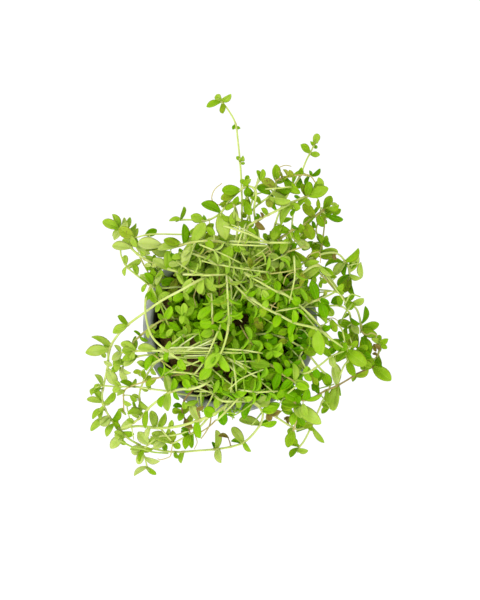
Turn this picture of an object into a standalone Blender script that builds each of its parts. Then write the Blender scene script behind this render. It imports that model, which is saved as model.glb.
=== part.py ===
"""A potted pearlweed: a plug of growing wool in a round slotted pot, and the long soft
shoots that root in it, rise above the rim, lie over one another and hang out all round."""

import math

import bmesh
import bpy
import numpy as np
from mathutils import Matrix, Vector
from mathutils.bvhtree import BVHTree

MM = 0.001

# The pot, in millimetres
RIM_DIAMETER = 52.0
POT_HEIGHT = 47.0
BASE_RADIUS = 18.0
FLOOR_THICKNESS = 1.4
WALL_THICKNESS = 1.4
LIP_WIDTH = 2.4
LIP_SKIRT = 3.4
ROUNDING = 0.4
TURNED_STEPS = 28
SLOT_COUNT = 10
SLOT_WIDTH = 2.4
SLOT_BOTTOM = 7.0
SLOT_TOP = 27.0
BASE_SLOT_COUNT = 5
BASE_SLOT_INNER = 5.0
BASE_SLOT_OUTER = 13.0
CUTTER_DEPTH = 8.0
WELD_DISTANCE = 0.05

# The growing medium, in millimetres
PLUG_TOP = 43.0
PLUG_EDGE_DROP = 2.6
PLUG_CROWN_RADIUS = 9.0
PLUG_MIDDLE_DIP = 0.5
PLUG_SHOULDER_RADIUS = 17.0
PLUG_SHOULDER_DROP = 0.6
PLUG_BEVEL = (1.2, 1.0)
FIT_GAP = 0.35

# The shoots are laid out in the view from straight above: places along a route are pixels
# of that view, and heights are millimetres above the surface that the pot stands on.
RIM_CENTRE_PX = (230.2, 325.8)
RIM_RADIUS_PX = 87.4
MM_PER_PX = RIM_DIAMETER / 2 / RIM_RADIUS_PX
ROUTE_SPACING = 7.5
CURVE_STEPS = 12
NEARER_BY = 0.05

# How the stems are laid over one another
CONTACT_SPACING = 1.1
STEM_GAP = 0.4
MEETING_BREAK = 6
STEEPEST_CONTACT = 3.0
RIM_ZONE = (22.0, 27.3)
LIFT_ROUNDS = 900
EASED_ROUNDS = 630
EASING = 0.15
LIFT_STEP = 0.6
KNOT_REACH = 1.5

# The leaves, in millimetres
LEAF_THICKNESS = 0.7
GROWN_LEAF = 5.0
WIDTH_TO_LENGTH = 0.52
LEAF_OVERRUN = 0.3
LEAF_GAP = 0.35
BROAD_LEAF = 2.3
ROLL_SHARE = 0.8
STEEPEST_LEAF = 0.7
DROOP_SHARE = -0.5
TRIED_RISES = (0.0, 1.0, -1.0, 2.0, -2.0, 3.0, -3.0, 4.2)

# Each shoot: its name, the stem's thickness in millimetres, the stem's route from its root to its
# end, and its larger leaves, each from base to tip with its width as it looks from above.
SHOOTS = [
    ("shoot_north_tall", 0.8,
     [(238, 260, 44), (241, 236, 54), (242, 210, 59), (241.5, 188, 60), (240.5, 168, 59),
      (238, 142, 56), (235.5, 124, 54), (228, 110, 52), (221, 101, 50)],
     [(222, 102, 206.5, 107, 6), (221, 101, 231, 94.5, 6), (221, 101, 216, 95, 7)]),
    ("shoot_northeast_up", 0.8,
     [(266, 268, 44), (271, 240, 54), (280, 210, 58), (290, 191, 57), (299, 178, 55), (306, 161, 52),
      (310, 153.5, 50), (314.5, 144, 47)],
     [(314.5, 144, 318, 133.5, 7.5), (314, 145, 310, 141.5, 4)]),
    ("shoot_north_bud", 0.8,
     [(248, 262, 44), (251, 236, 54), (249, 212, 60), (247, 196, 62), (246, 183, 61)],
     [(246, 184, 240, 181, 5), (247.5, 198, 248, 188, 8), (249, 211, 243, 200, 8)]),
    ("shoot_northwest_mid", 0.9,
     [(257, 264, 44), (265, 236, 55), (268, 208, 61), (262, 190, 62), (250, 186, 61), (240, 191, 60),
      (229, 202, 59), (220, 214, 58), (206, 221, 56), (190, 220, 54), (180, 220, 52)],
     [(240, 191, 222, 191, 11), (236, 195, 221, 200, 8), (220, 213, 201.5, 204, 9),
      (221, 214, 226, 240, 15), (204, 221, 191, 216, 10)]),
    ("shoot_northwest_bright", 1,
     [(226, 262, 44), (229, 252, 53), (226, 244, 60), (215, 241.5, 61), (200, 241.5, 60),
      (186, 244, 58), (172, 248, 56), (162, 246, 54)],
     [(163, 246, 138, 243, 12), (179, 245, 164, 240, 8), (193, 243, 205, 223, 13),
      (228, 244, 239, 240, 10), (206, 241.5, 214, 248, 8)]),
    ("shoot_west_top", 0.7,
     [(220, 264, 44), (214, 254, 52), (206, 243, 56), (196, 236, 56), (175, 234.5, 54),
      (150, 234.5, 50), (134, 238, 46)],
     [(146, 235, 157, 230, 8), (134, 237, 119, 228, 12), (206, 243, 212, 232, 8)]),
    ("shoot_northwest_cluster", 1.1,
     [(206, 276, 44), (199, 274, 51), (185, 273, 56), (168, 269, 56), (150, 262, 53), (134, 251, 48),
      (126, 239, 44), (119, 228, 40)],
     [(118, 227, 102, 221, 10), (131, 248, 112, 246, 9), (168, 268, 153, 261, 8),
      (166, 268, 170, 251, 9), (185, 272, 169, 262, 8), (122, 232, 127, 222, 9)]),
    ("shoot_northwest_thin", 0.8,
     [(194, 288, 44), (180, 287, 50), (163, 288, 53), (150, 285, 52), (138, 276, 48), (127, 267, 44),
      (121, 256, 41), (120, 247, 40)],
     [(126, 264, 125, 255, 6)]),
    ("shoot_west_hoop", 1,
     [(209, 368, 44), (197, 365, 54), (180, 359, 62), (164, 348, 63), (152, 335, 61), (146, 314, 58),
      (147, 296, 56), (155, 281, 55), (164, 274, 54)],
     [(150, 288, 156, 303, 9)]),
    ("shoot_west_arc", 1.1,
     [(214, 270, 44), (206, 277, 53), (197, 281.5, 58), (180, 291, 59), (163, 300, 58), (147, 311, 55),
      (129, 324, 50), (117, 336, 45), (109, 350, 41), (107, 368, 37), (103, 385, 34), (101, 400, 31),
      (106, 414, 28), (115, 427, 26), (126, 439, 24), (137, 446, 22)],
     [(128, 325, 113, 333, 9), (109, 349, 85, 353, 10), (107, 369, 115, 385, 11),
      (108, 418, 100, 427, 11), (122, 436, 109, 450, 10)]),
    ("shoot_west_low", 0.9,
     [(188, 324, 44), (176, 319, 50), (163, 320, 53), (149, 329, 52), (140, 336, 49), (131, 345, 46)],
     [(150, 329, 157, 325, 6)]),
    ("shoot_west_bundle_1", 1,
     [(236, 350, 44), (214, 348, 52), (192, 348, 56), (170, 350, 56), (150, 351, 54), (134, 351, 50),
      (119, 353, 46)],
     [(156, 350.5, 138, 348, 8), (121, 353, 112, 360, 8)]),
    ("shoot_west_bundle_2", 0.9,
     [(226, 358, 44), (207, 353, 51), (185, 353, 54), (160, 354, 53), (140, 356, 49), (128, 361, 46),
      (121, 369, 43)],
     [(138, 356, 122, 360, 6)]),
    ("shoot_west_bundle_3", 0.8,
     [(212, 336, 44), (205, 342, 51), (190, 347, 58), (170, 355, 59), (157, 361, 56), (148, 367, 50),
      (140, 373, 46)],
     [(151, 364, 157, 352, 6)]),
    ("shoot_west_bundle_4", 0.9,
     [(222, 366, 44), (207, 358, 50), (188, 357, 52), (170, 358, 51), (157, 362, 49), (150, 370, 46),
      (143, 382, 42), (139, 395, 38), (140, 408, 35), (140, 417, 33)],
     [(152, 367, 156, 375, 4)]),
    ("shoot_west_straw", 0.6,
     [(214, 378, 44), (196, 373, 50), (175, 375, 49), (157, 378, 47), (144, 382, 43), (132, 386, 40),
      (124, 391, 37), (123, 401, 35), (123, 412, 33)],
     [(156, 378.5, 146, 385, 7)]),
    ("shoot_west_horizontal", 0.8,
     [(224, 388, 44), (206, 395, 48), (188, 395, 47), (167, 391, 45), (150, 389, 42), (135, 387, 39),
      (118, 387, 36), (100, 386, 33)],
     [(101, 386, 93, 387, 5)]),
    ("shoot_southwest_main", 1.2,
     [(218, 372, 44), (206, 383, 50), (194, 388, 51), (181, 389, 50), (170, 392, 48), (160, 399, 44),
      (150, 407, 40), (142, 416, 36), (132, 424, 33), (121, 429, 30)],
     [(169, 392, 165, 374, 9), (169, 393, 168, 411, 9), (190, 388, 184, 379, 8)]),
    ("shoot_southwest_thick", 1.3,
     [(246, 386, 44), (238, 397, 49), (228, 404, 50), (214, 414, 47), (199, 420, 43), (180, 426, 39),
      (160, 428.5, 35), (140, 427, 32), (128, 428, 30)],
     [(221, 409, 224, 425, 10), (214, 413, 204, 409, 12), (199, 420, 190, 404, 10),
      (197, 421, 200, 438, 8), (154, 428, 151, 411, 8)]),
    ("shoot_southwest_low", 0.9,
     [(234, 390, 44), (222, 402, 46), (208, 418, 43), (196, 431, 38), (184, 438, 35), (172, 444, 33),
      (160, 441, 31), (150, 438, 30)],
     [(171, 444, 151, 434, 9), (160, 441, 147, 443, 8), (164, 443, 153, 449, 8),
      (190, 435, 185, 450, 8)]),
    ("shoot_southwest_tip", 0.7,
     [(240, 378, 44), (226, 395, 49), (210, 412, 45), (196, 426, 40), (184, 433, 37), (172, 436, 34),
      (160, 437, 31), (151, 443, 28), (142, 452, 25), (144, 460, 23), (146, 469, 20)],
     [(144, 458, 159, 463, 6), (146, 469, 133, 478, 4.5), (142, 453, 137, 466, 8),
      (148, 446, 137, 433, 11)]),
    ("shoot_southwest_withered", 0.6,
     [(208, 386, 44), (198, 386, 48), (190, 393, 48), (184, 401, 45), (182, 411, 42), (186, 422, 40),
      (190, 433, 38)],
     [(184, 401, 185, 409, 6)]),
    ("shoot_south_hook", 1,
     [(202, 374, 44), (210, 389, 49), (221, 400, 52), (238, 401, 52), (252, 402, 50), (262, 411, 47),
      (261, 423, 43), (251, 437, 37), (242, 444, 33), (230, 448, 31), (215, 450.5, 28), (198, 452, 26),
      (180, 453.5, 24), (165, 453, 23), (151, 450, 22)],
     [(250, 402, 244, 419, 8), (260, 425, 239, 420, 8), (243, 443, 232, 428, 9),
      (217, 450.5, 221, 464, 8), (256, 405, 270, 398, 13), (262, 411, 278, 407, 10)]),
    ("shoot_south_southeast", 0.9,
     [(258, 378, 44), (262, 396, 48), (268, 411, 46), (276, 417, 43), (288, 425, 38), (298, 430, 34),
      (308, 427, 32)],
     [(288, 425, 284, 418, 3), (297, 429.5, 302, 418, 8)]),
    ("shoot_south_straw", 0.8,
     [(267, 368, 44), (280, 390, 50), (293, 400, 48), (298, 411, 44), (296, 422, 40), (293, 433, 36),
      (290, 442, 33)],
     [(296, 402, 281, 408, 11), (297, 405, 301, 418, 10), (297, 404, 321, 424, 14),
      (298, 413, 304, 426, 8), (292, 436, 288, 448, 8)]),
    ("shoot_southeast_brown", 0.8,
     [(276, 362, 44), (283, 380, 50), (292, 395, 51), (303, 400, 49), (314, 397, 47), (325, 391, 45),
      (337, 386, 43), (348, 380, 40), (358, 374, 37), (367, 370, 35), (374, 367, 34)],
     [(374, 367, 392, 381, 13), (337, 386, 334, 363, 10), (338, 386, 333, 411, 10),
      (303, 400, 292, 391, 10), (304, 399.5, 308, 388, 8)]),
    ("shoot_south_tail", 0.9,
     [(224, 350, 44), (238, 340, 49), (252, 335, 53), (268, 334, 55), (284, 338, 55), (303, 349, 53),
      (318, 366, 48), (328, 378, 44), (330, 388, 41), (323, 402, 36), (314, 423, 30), (305, 442, 24),
      (298, 451, 21)],
     [(256, 334, 244, 325, 8), (257, 333.5, 261, 317, 7), (303, 349, 316, 353, 8),
      (326, 376, 329, 386, 9)]),
    ("shoot_southeast_cross", 0.8,
     [(277, 349, 44), (290, 361, 51), (303, 373, 54), (318, 366, 53), (330, 357, 51), (343, 351, 49),
      (352, 346, 47)],
     [(304, 374, 311, 381, 6), (314, 368, 318, 378, 8)]),
    ("shoot_south_red_node", 1,
     [(250, 354, 44), (259, 361, 50), (271, 365, 54), (283, 374, 56), (294, 381, 56)],
     [(294, 381, 292.5, 363, 7), (295, 381, 309, 387, 9), (283, 373, 273, 362, 8),
      (280, 371, 274, 389, 9)]),
    ("shoot_southeast_main_1", 1.1,
     [(222, 272, 44), (229, 279, 53), (243, 293, 59), (264, 307, 60), (281, 316, 59), (295, 323, 58),
      (314, 328, 55), (328, 337, 51), (341, 347, 47), (355, 356, 43), (366, 364, 39)],
     [(266, 308, 259, 316, 9), (316, 329, 321, 355, 14), (332, 340, 341, 350, 8),
      (346, 351, 367, 364, 13), (279, 315, 274, 327, 9), (251, 298, 245, 290, 8)]),
    ("shoot_southeast_main_2", 1,
     [(238, 279, 44), (248, 281, 55), (260, 287, 60), (275, 291, 62), (289, 297, 61), (301, 307, 59),
      (312, 317, 56), (322, 329, 52), (333, 341, 48), (345, 354, 44), (350, 366, 41)],
     [(277, 292, 277, 281, 8), (275, 291, 262, 300, 9), (291, 298, 300, 303, 10),
      (348, 361, 355, 376, 8), (345, 355, 333, 361, 8)]),
    ("shoot_southeast_star", 0.8,
     [(268, 326, 44), (288, 326, 50), (310, 333, 50), (332, 346, 46), (350, 354, 42), (366, 360, 37),
      (376, 359, 34), (380, 351, 33), (380, 343, 34)],
     [(380, 343, 380, 335, 5.5), (367, 360, 362, 337, 10), (372, 360, 381, 370, 9),
      (296, 328, 304, 338, 9)]),
    ("shoot_east_b", 1.1,
     [(281, 291, 44), (296, 279, 50), (308, 269, 53), (319, 266, 53), (330, 279, 49), (337, 288, 46),
      (344, 299, 43), (352, 304, 40), (358, 311, 38), (361, 322, 36), (362, 329, 35)],
     [(320, 266, 333, 275, 7), (362, 327, 380, 324, 8), (362, 329, 378, 336, 9),
      (345, 300, 353, 309, 9), (343, 297, 331, 303, 9), (320, 268, 304, 279, 9)]),
    ("shoot_east_b_inner", 0.8,
     [(290, 310, 44), (307, 307, 48), (325, 306, 49), (340, 306, 47), (349, 312, 44), (351, 320, 42),
      (354, 330, 40)],
     [(353, 327, 338, 321, 9), (352, 325, 359, 334, 8), (326, 306, 333, 316, 8)]),
    ("shoot_east_a", 0.9,
     [(283, 284, 44), (297, 268, 51), (312, 258, 53), (327, 253, 51), (338, 254, 48), (345, 261, 45),
      (349, 268, 43), (350, 277, 41)],
     [(345, 261, 358.5, 248, 7), (346, 262, 334, 275, 8), (349, 269, 356, 260, 8),
      (350, 277, 342, 293, 12), (312, 258, 318, 250, 9)]),
    ("shoot_east_rosette", 0.9,
     [(294, 319, 44), (300, 310, 50), (309, 303, 54), (317, 300, 55), (327, 296, 53), (337, 291, 51)],
     [(318, 300, 332, 313, 12), (317, 300, 311, 281, 10)]),
    ("shoot_east_leafy", 0.9,
     [(276, 282, 44), (281, 262, 52), (288, 251, 56), (295, 241, 57), (302, 234, 56)],
     [(296, 240, 309, 248, 9), (283, 258, 290, 238, 9), (289, 250, 307, 260, 8),
      (280, 265, 266, 268, 8)]),
    ("shoot_east_brown", 0.7,
     [(283, 304, 44), (292, 290, 49), (306, 270, 51), (318, 255, 51), (322, 243, 50), (324, 229, 48),
      (325, 218, 46)],
     [(321, 246, 313, 253, 12), (319, 252, 338, 252, 9), (318, 255, 337, 257, 8),
      (304, 280, 301, 292, 8)]),
    ("shoot_northeast_upper", 1,
     [(273, 274, 44), (272, 256, 52), (279, 241, 57), (291, 231, 58), (300, 228, 57), (310, 220, 54),
      (317, 215, 52), (325, 209, 50)],
     [(324, 210, 331, 196, 9), (320, 213, 340, 210, 8), (314, 217, 303, 204, 10),
      (290, 232, 273, 229, 8), (305, 224, 312, 240, 12)]),
    ("shoot_northeast_long", 1.1,
     [(243, 270, 44), (243, 250, 54), (247, 229, 60), (260, 219.5, 61), (271, 214, 61), (283, 208, 60),
      (296, 201, 58), (308, 196, 55), (314, 190, 54)],
     [(308, 196, 328, 188.5, 11), (307, 196.5, 308, 182, 8), (288, 205.5, 300, 209, 9)]),
    ("shoot_northeast_mid", 0.9,
     [(252, 271, 44), (246, 244, 55), (248, 218, 60), (257, 206, 61), (268, 198, 60), (275, 190, 59),
      (276, 182, 58)],
     [(270, 197, 270, 208, 9), (276, 182, 276, 165, 9), (275, 188, 261, 180, 8)]),
    ("shoot_north_green", 1.1,
     [(233, 268, 44), (235, 248, 55), (238, 226, 60), (237, 215, 61), (234, 205, 61)],
     [(234, 205, 225, 210, 6), (240, 224, 254, 225, 8)]),
    ("inner_vertical_shoot", 1,
     [(228, 283, 44), (231, 294, 53), (228.5, 306, 59), (228.5, 320, 62), (227, 335, 62),
      (221, 353, 60), (212, 366, 57), (204, 376, 55)],
     [(221, 353, 205, 368, 11), (212, 366, 200, 379, 11), (229, 308, 221, 302, 8)]),
    ("inner_diagonal_shoot", 0.9,
     [(244, 292, 44), (236, 300, 53), (227, 312, 58), (219, 329, 60), (210, 350, 60), (205, 361, 59)],
     [(219, 329, 223, 341, 5), (236, 299, 241, 308, 8)]),
    ("inner_olive_shoot", 1,
     [(214, 346, 44), (213, 334, 49), (213, 318, 54), (212, 303, 57)],
     [(212, 303, 226, 298, 8), (212, 307, 198, 319, 9), (213, 324, 200, 323, 12),
      (213, 331, 201, 335, 10)]),
    ("inner_rosette_west", 0.8,
     [(193, 334, 44), (189, 325, 50), (184, 315, 56)],
     [(184, 315, 176, 306, 6)]),
    ("inner_node_west", 0.9,
     [(180, 343, 44), (174, 333, 50), (167, 321, 54), (163, 310, 56), (160, 302, 56)],
     [(168, 323, 180, 330, 8), (173, 332, 160, 337, 8), (176, 336, 193, 327, 10),
      (166, 318, 171, 306, 8), (178, 340, 190, 342, 8)]),
    ("inner_rosette_east", 0.8,
     [(288, 370, 44), (281, 361, 50), (273, 351, 56)],
     [(273, 351, 264, 343, 6), (281, 361, 288, 356, 8)]),
    ("inner_big_leaf_shoot", 0.9,
     [(258, 368, 44), (264, 369, 49), (269, 366, 53)],
     [(268, 366, 250, 363, 12), (269, 366, 279, 368, 8)]),
    ("inner_south_shoot", 0.8,
     [(240, 368, 44), (247, 372, 49), (254, 376, 53), (262, 377, 54)],
     [(252, 375, 246, 389, 9), (259, 377, 252, 390, 8)]),
    ("inner_southwest_shoot", 0.9,
     [(226, 378, 44), (231, 388, 50), (237, 396, 52), (244, 399, 52)],
     [(232, 390, 223, 383, 10), (236, 395, 247, 391, 8), (230, 386, 221, 394, 8)]),
    ("inner_round_shoot", 0.9,
     [(284, 326, 44), (288, 317, 50), (285, 308, 54)],
     [(285, 308, 281, 301, 9), (287, 311, 299, 303, 10), (288, 316, 279, 322, 8)]),
    ("inner_star_shoot", 0.8,
     [(262, 283, 44), (257, 276, 50), (250, 268, 55)],
     [(250, 268, 250, 248, 6)]),
    ("inner_north_shoot", 0.9,
     [(214, 283, 44), (221, 271, 50), (227, 259, 54), (232, 247, 56)],
     [(232, 247, 223, 261, 13), (223, 266, 208, 255, 12), (226, 262, 239, 264, 10),
      (222, 269, 237, 277, 12), (232, 247, 242, 250, 8)]),
    ("inner_west_shoot", 0.9,
     [(200, 304, 44), (199, 293, 50), (201, 281, 54), (203, 273, 56)],
     [(200, 282, 204, 294, 9), (201, 280, 218, 295, 8), (203, 273, 199, 258, 8),
      (203, 273, 217, 268, 9)]),
    ("inner_old_shoot", 0.8,
     [(187, 306, 44), (182, 295, 47), (177, 283, 50)],
     [(180, 288, 168, 298, 12), (177, 283, 161, 281, 9), (183, 297, 172, 305, 8)]),
    ("inner_southeast_shoot", 0.9,
     [(290, 346, 44), (294, 338, 48), (297, 328, 51)],
     [(295, 335, 306, 342, 9), (294, 338, 283, 345, 9), (297, 329, 304, 321, 8)]),
    ("inner_east_shoot", 0.9,
     [(293, 301, 44), (300, 296, 50), (306, 290, 53), (312, 285, 54)],
     [(297, 294, 312, 294, 10), (302, 290, 301, 270, 8), (303, 289, 292, 287, 8)]),
]


def clear_scene():
    for old in list(bpy.data.objects):
        bpy.data.objects.remove(old)


def new_collection(name):
    collection = bpy.data.collections.new(name)
    bpy.context.scene.collection.children.link(collection)
    return collection


def new_material(name, colour, roughness):
    material = bpy.data.materials.new(name)
    material.use_nodes = True
    surface = material.node_tree.nodes["Principled BSDF"]
    surface.inputs["Base Color"].default_value = (*colour, 1.0)
    surface.inputs["Roughness"].default_value = roughness
    surface.inputs["Metallic"].default_value = 0.0
    return material


def add_object(name, data, collection, material=None):
    item = bpy.data.objects.new(name, data)
    collection.objects.link(item)
    if material is not None:
        data.materials.append(material)
    return item


def hide_as_cutter(item):
    item.hide_render = True
    item.display_type = "WIRE"


def turned(name, profile, collection, material):
    """A solid of revolution; the profile of (radius, height) runs down its outer side."""
    mesh = bpy.data.meshes.new(name)
    points = [(radius * MM, 0.0, height * MM) for radius, height in profile]
    edges = [(i, i + 1) for i in range(len(points) - 1)]
    mesh.from_pydata(points, edges, [])
    item = add_object(name, mesh, collection, material)
    screw = item.modifiers.new("turn", "SCREW")
    screw.axis = "Z"
    screw.steps = TURNED_STEPS
    screw.render_steps = TURNED_STEPS
    screw.use_merge_vertices = True
    screw.merge_threshold = WELD_DISTANCE * MM
    screw.use_smooth_shade = True
    return item


def wall_radius(height):
    """Outer radius of the pot's tapered wall."""
    top_radius = RIM_DIAMETER / 2 - LIP_WIDTH + WALL_THICKNESS - 2 * ROUNDING
    return BASE_RADIUS + (top_radius - BASE_RADIUS) * height / POT_HEIGHT


def inner_radius(height):
    return wall_radius(height) - WALL_THICKNESS


def slot_cutter(collection):
    """Bars for the slots in the pot's lower wall and its floor."""
    form = bmesh.new()
    for k in range(SLOT_COUNT):
        turn = Matrix.Rotation(2 * math.pi * k / SLOT_COUNT, 4, "Z")
        middle = (wall_radius(SLOT_BOTTOM) + wall_radius(SLOT_TOP)) / 2 * MM
        place = Matrix.Translation((middle, 0.0, (SLOT_BOTTOM + SLOT_TOP) / 2 * MM))
        size = Matrix.Diagonal((CUTTER_DEPTH * MM, SLOT_WIDTH * MM, (SLOT_TOP - SLOT_BOTTOM) * MM, 1.0))
        bmesh.ops.create_cube(form, size=1.0, matrix=turn @ place @ size)
    for k in range(BASE_SLOT_COUNT):
        turn = Matrix.Rotation(2 * math.pi * (k + 0.5) / BASE_SLOT_COUNT, 4, "Z")
        place = Matrix.Translation(((BASE_SLOT_INNER + BASE_SLOT_OUTER) / 2 * MM, 0.0, 0.0))
        reach = (BASE_SLOT_OUTER - BASE_SLOT_INNER) * MM
        size = Matrix.Diagonal((reach, SLOT_WIDTH * MM, CUTTER_DEPTH * MM, 1.0))
        bmesh.ops.create_cube(form, size=1.0, matrix=turn @ place @ size)
    mesh = bpy.data.meshes.new("pot_slots")
    form.to_mesh(mesh)
    form.free()
    cutter = add_object("pot_slots", mesh, collection)
    hide_as_cutter(cutter)
    return cutter


def build_pot(parts, cutters):
    rim = RIM_DIAMETER / 2
    lip_inner = rim - LIP_WIDTH
    skirt = POT_HEIGHT - LIP_SKIRT
    under_lip = POT_HEIGHT - WALL_THICKNESS
    profile = [
        (0.0, FLOOR_THICKNESS),
        (inner_radius(FLOOR_THICKNESS), FLOOR_THICKNESS),
        (inner_radius(under_lip), under_lip),
        (lip_inner, POT_HEIGHT - ROUNDING),
        (lip_inner + ROUNDING, POT_HEIGHT),
        (rim - ROUNDING, POT_HEIGHT),
        (rim, POT_HEIGHT - ROUNDING),
        (rim, skirt),
        (rim - 2 * ROUNDING, skirt),
        (rim - 2 * ROUNDING, under_lip),
        (wall_radius(under_lip), under_lip - ROUNDING),
        (BASE_RADIUS, ROUNDING),
        (BASE_RADIUS - ROUNDING, 0.0),
        (0.0, 0.0),
    ]
    grey = new_material("grey_plastic", (0.17, 0.17, 0.175), 0.45)
    pot = turned("pot", profile, parts, grey)
    cut = pot.modifiers.new("slots", "BOOLEAN")
    cut.operation = "DIFFERENCE"
    cut.solver = "EXACT"
    cut.object = slot_cutter(cutters)
    return pot


def build_growing_wool(parts):
    """The wool plug fills the pot to a few millimetres below its rim."""
    edge = PLUG_TOP - PLUG_EDGE_DROP
    foot = FLOOR_THICKNESS + FIT_GAP
    profile = [
        (0.0, PLUG_TOP - PLUG_MIDDLE_DIP),
        (PLUG_CROWN_RADIUS, PLUG_TOP),
        (PLUG_SHOULDER_RADIUS, PLUG_TOP - PLUG_SHOULDER_DROP),
        (inner_radius(edge) - PLUG_BEVEL[0], edge + PLUG_BEVEL[1]),
        (inner_radius(edge) - FIT_GAP, edge),
        (inner_radius(foot) - FIT_GAP, foot),
        (0.0, foot),
    ]
    brown = new_material("growing_wool_brown", (0.07, 0.045, 0.018), 0.95)
    return turned("growing_wool", profile, parts, brown)


def plan_mm(px, py):
    """A place in the view from above, as millimetres from the pot's axis."""
    return (px - RIM_CENTRE_PX[0]) * MM_PER_PX, (RIM_CENTRE_PX[1] - py) * MM_PER_PX


def smooth_points(points):
    """Points along a smooth curve through the given ones."""
    knots = [points[0] * 2 - points[1], *points, points[-1] * 2 - points[-2]]
    curve = []
    for a, b, c, d in zip(knots, knots[1:], knots[2:], knots[3:]):
        for k in range(CURVE_STEPS):
            t = k / CURVE_STEPS
            curve.append(0.5 * ((2 * b) + (c - a) * t + (2 * a - 5 * b + 4 * c - d) * t * t
                                + (3 * b - a - 3 * c + d) * t ** 3))
    curve.append(points[-1])
    return np.array(curve)


def even_points(curve, spacing):
    """The same curve with points about one spacing apart."""
    steps = np.linalg.norm(np.diff(curve, axis=0), axis=1)
    along = np.concatenate([[0.0], np.cumsum(steps)])
    count = max(3, round(along[-1] / spacing) + 1)
    wanted = np.linspace(0.0, along[-1], count)
    return np.stack([np.interp(wanted, along, curve[:, axis]) for axis in range(3)], axis=1)


def stem_route(traced):
    points = [np.array([*plan_mm(px, py), height]) for px, py, height in traced]
    return even_points(smooth_points(points), ROUTE_SPACING)


class Contacts:
    """Samples along every stem, and which of them lie close to each other in plan."""

    def __init__(self, routes, radii):
        self.knot, self.share, self.plan, self.radius, self.owner, self.slope = [], [], [], [], [], []
        start = 0
        for owner, (route, radius) in enumerate(zip(routes, radii)):
            for k, (a, b) in enumerate(zip(route, route[1:])):
                span = np.linalg.norm(b - a)
                flat = max(np.linalg.norm((b - a)[:2]), span / STEEPEST_CONTACT)
                count = max(2, math.ceil(span / CONTACT_SPACING))
                for j in range(count + 1):
                    self.knot.append(start + k)
                    self.share.append(j / count)
                    self.plan.append((a + (b - a) * j / count)[:2])
                    self.radius.append(radius)
                    self.owner.append(owner)
                    self.slope.append(span / flat)
            start += len(route)
        self.knot, self.share = np.array(self.knot), np.array(self.share)
        self.plan, self.radius = np.array(self.plan), np.array(self.radius)
        self.owner, self.slope = np.array(self.owner), np.array(self.slope)

    def heights(self, z):
        return z[self.knot] * (1 - self.share) + z[self.knot + 1] * self.share

    def pairs(self, z):
        """Index pairs that must stay apart, the gap each needs, and which one is on top."""
        first, second, need = [], [], []
        now = self.heights(z)
        for i in range(len(self.plan)):
            flat = np.linalg.norm(self.plan[i + 1:] - self.plan[i], axis=1)
            apart = self.radius[i + 1:] + self.radius[i] + STEM_GAP
            near = np.maximum(flat - CONTACT_SPACING / 2, 0.0)
            hit = np.nonzero((near < apart) & (self.owner[i + 1:] != self.owner[i]))[0]
            for j in hit:
                first.append(i)
                second.append(i + 1 + j)
                clear = math.sqrt(apart[j] ** 2 - near[j] ** 2)
                need.append(clear * max(self.slope[i], self.slope[i + 1 + j]))
        first, second = np.array(first), np.array(second)
        sides = self.upper_sides(first, second, now)
        over = [sides[i, j] for i, j in zip(first, second)]
        return first, second, np.array(need), np.array(over)

    def upper_sides(self, first, second, now):
        """For each pair, 1 if the first stem passes over the second there and -1 if under.

        One meeting of two stems is a run of samples, and the whole run takes one side."""
        meetings = {}
        for i, j in zip(first, second):
            runs = meetings.setdefault((self.owner[i], self.owner[j]), [])
            if not runs or i - runs[-1][-1][0] > MEETING_BREAK:
                runs.append([])
            runs[-1].append((i, j))
        sides = {}
        for runs in meetings.values():
            for run in runs:
                higher = np.mean([now[i] - now[j] for i, j in run])
                for pair in run:
                    sides[pair] = 1.0 if higher >= 0 else -1.0
        return sides

    def least_heights(self):
        """The lowest free height over the wool, the rim and the surface outside."""
        out = np.linalg.norm(self.plan, axis=1)
        least = np.full(len(out), STEM_GAP)
        least[out < RIM_ZONE[1]] = POT_HEIGHT + STEM_GAP
        least[out < RIM_ZONE[0]] = PLUG_TOP + STEM_GAP / 2
        return least + self.radius


def lay_over_one_another(routes, radii):
    """Lifts and lowers the stems until each passes over or under its neighbours."""
    contacts = Contacts(routes, radii)
    z = np.concatenate([route[:, 2] for route in routes])
    starts = np.cumsum([0] + [len(route) for route in routes])
    roots = starts[:-1]
    inner = np.ones(len(z), bool)
    inner[roots] = False
    inner[starts[1:] - 1] = False
    first, second, need, over = contacts.pairs(z)
    least = contacts.least_heights()
    original = z.copy()
    for lift_round in range(LIFT_ROUNDS):
        now = contacts.heights(z)
        short = np.maximum(need - over * (now[first] - now[second]), 0.0)
        push = np.zeros(len(now))
        pull = np.zeros(len(now))
        rise = short * over / 2
        np.maximum.at(push, first, rise)
        np.minimum.at(pull, first, rise)
        np.maximum.at(push, second, -rise)
        np.minimum.at(pull, second, -rise)
        change = push + pull
        lift = least - now
        change = np.where(lift > 0, np.maximum(change, lift), change)
        up = np.zeros(len(z))
        down = np.zeros(len(z))
        for knot, share in ((contacts.knot, 1 - contacts.share), (contacts.knot + 1, contacts.share)):
            part = change * np.minimum(1.0, share * KNOT_REACH)
            np.maximum.at(up, knot, part)
            np.minimum.at(down, knot, part)
        z = z + LIFT_STEP * (up + down)
        z[roots] = original[roots]
        if lift_round < EASED_ROUNDS:
            moved = z - original
            ease = moved.copy()
            ease[1:-1] = 0.25 * moved[:-2] + 0.5 * moved[1:-1] + 0.25 * moved[2:]
            z[inner] = original[inner] + (1 - EASING) * moved[inner] + EASING * ease[inner]
    laid = []
    for route, start in zip(routes, starts):
        fitted = route.copy()
        fitted[:, 2] = z[start:start + len(route)]
        laid.append(fitted)
    return laid


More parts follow.
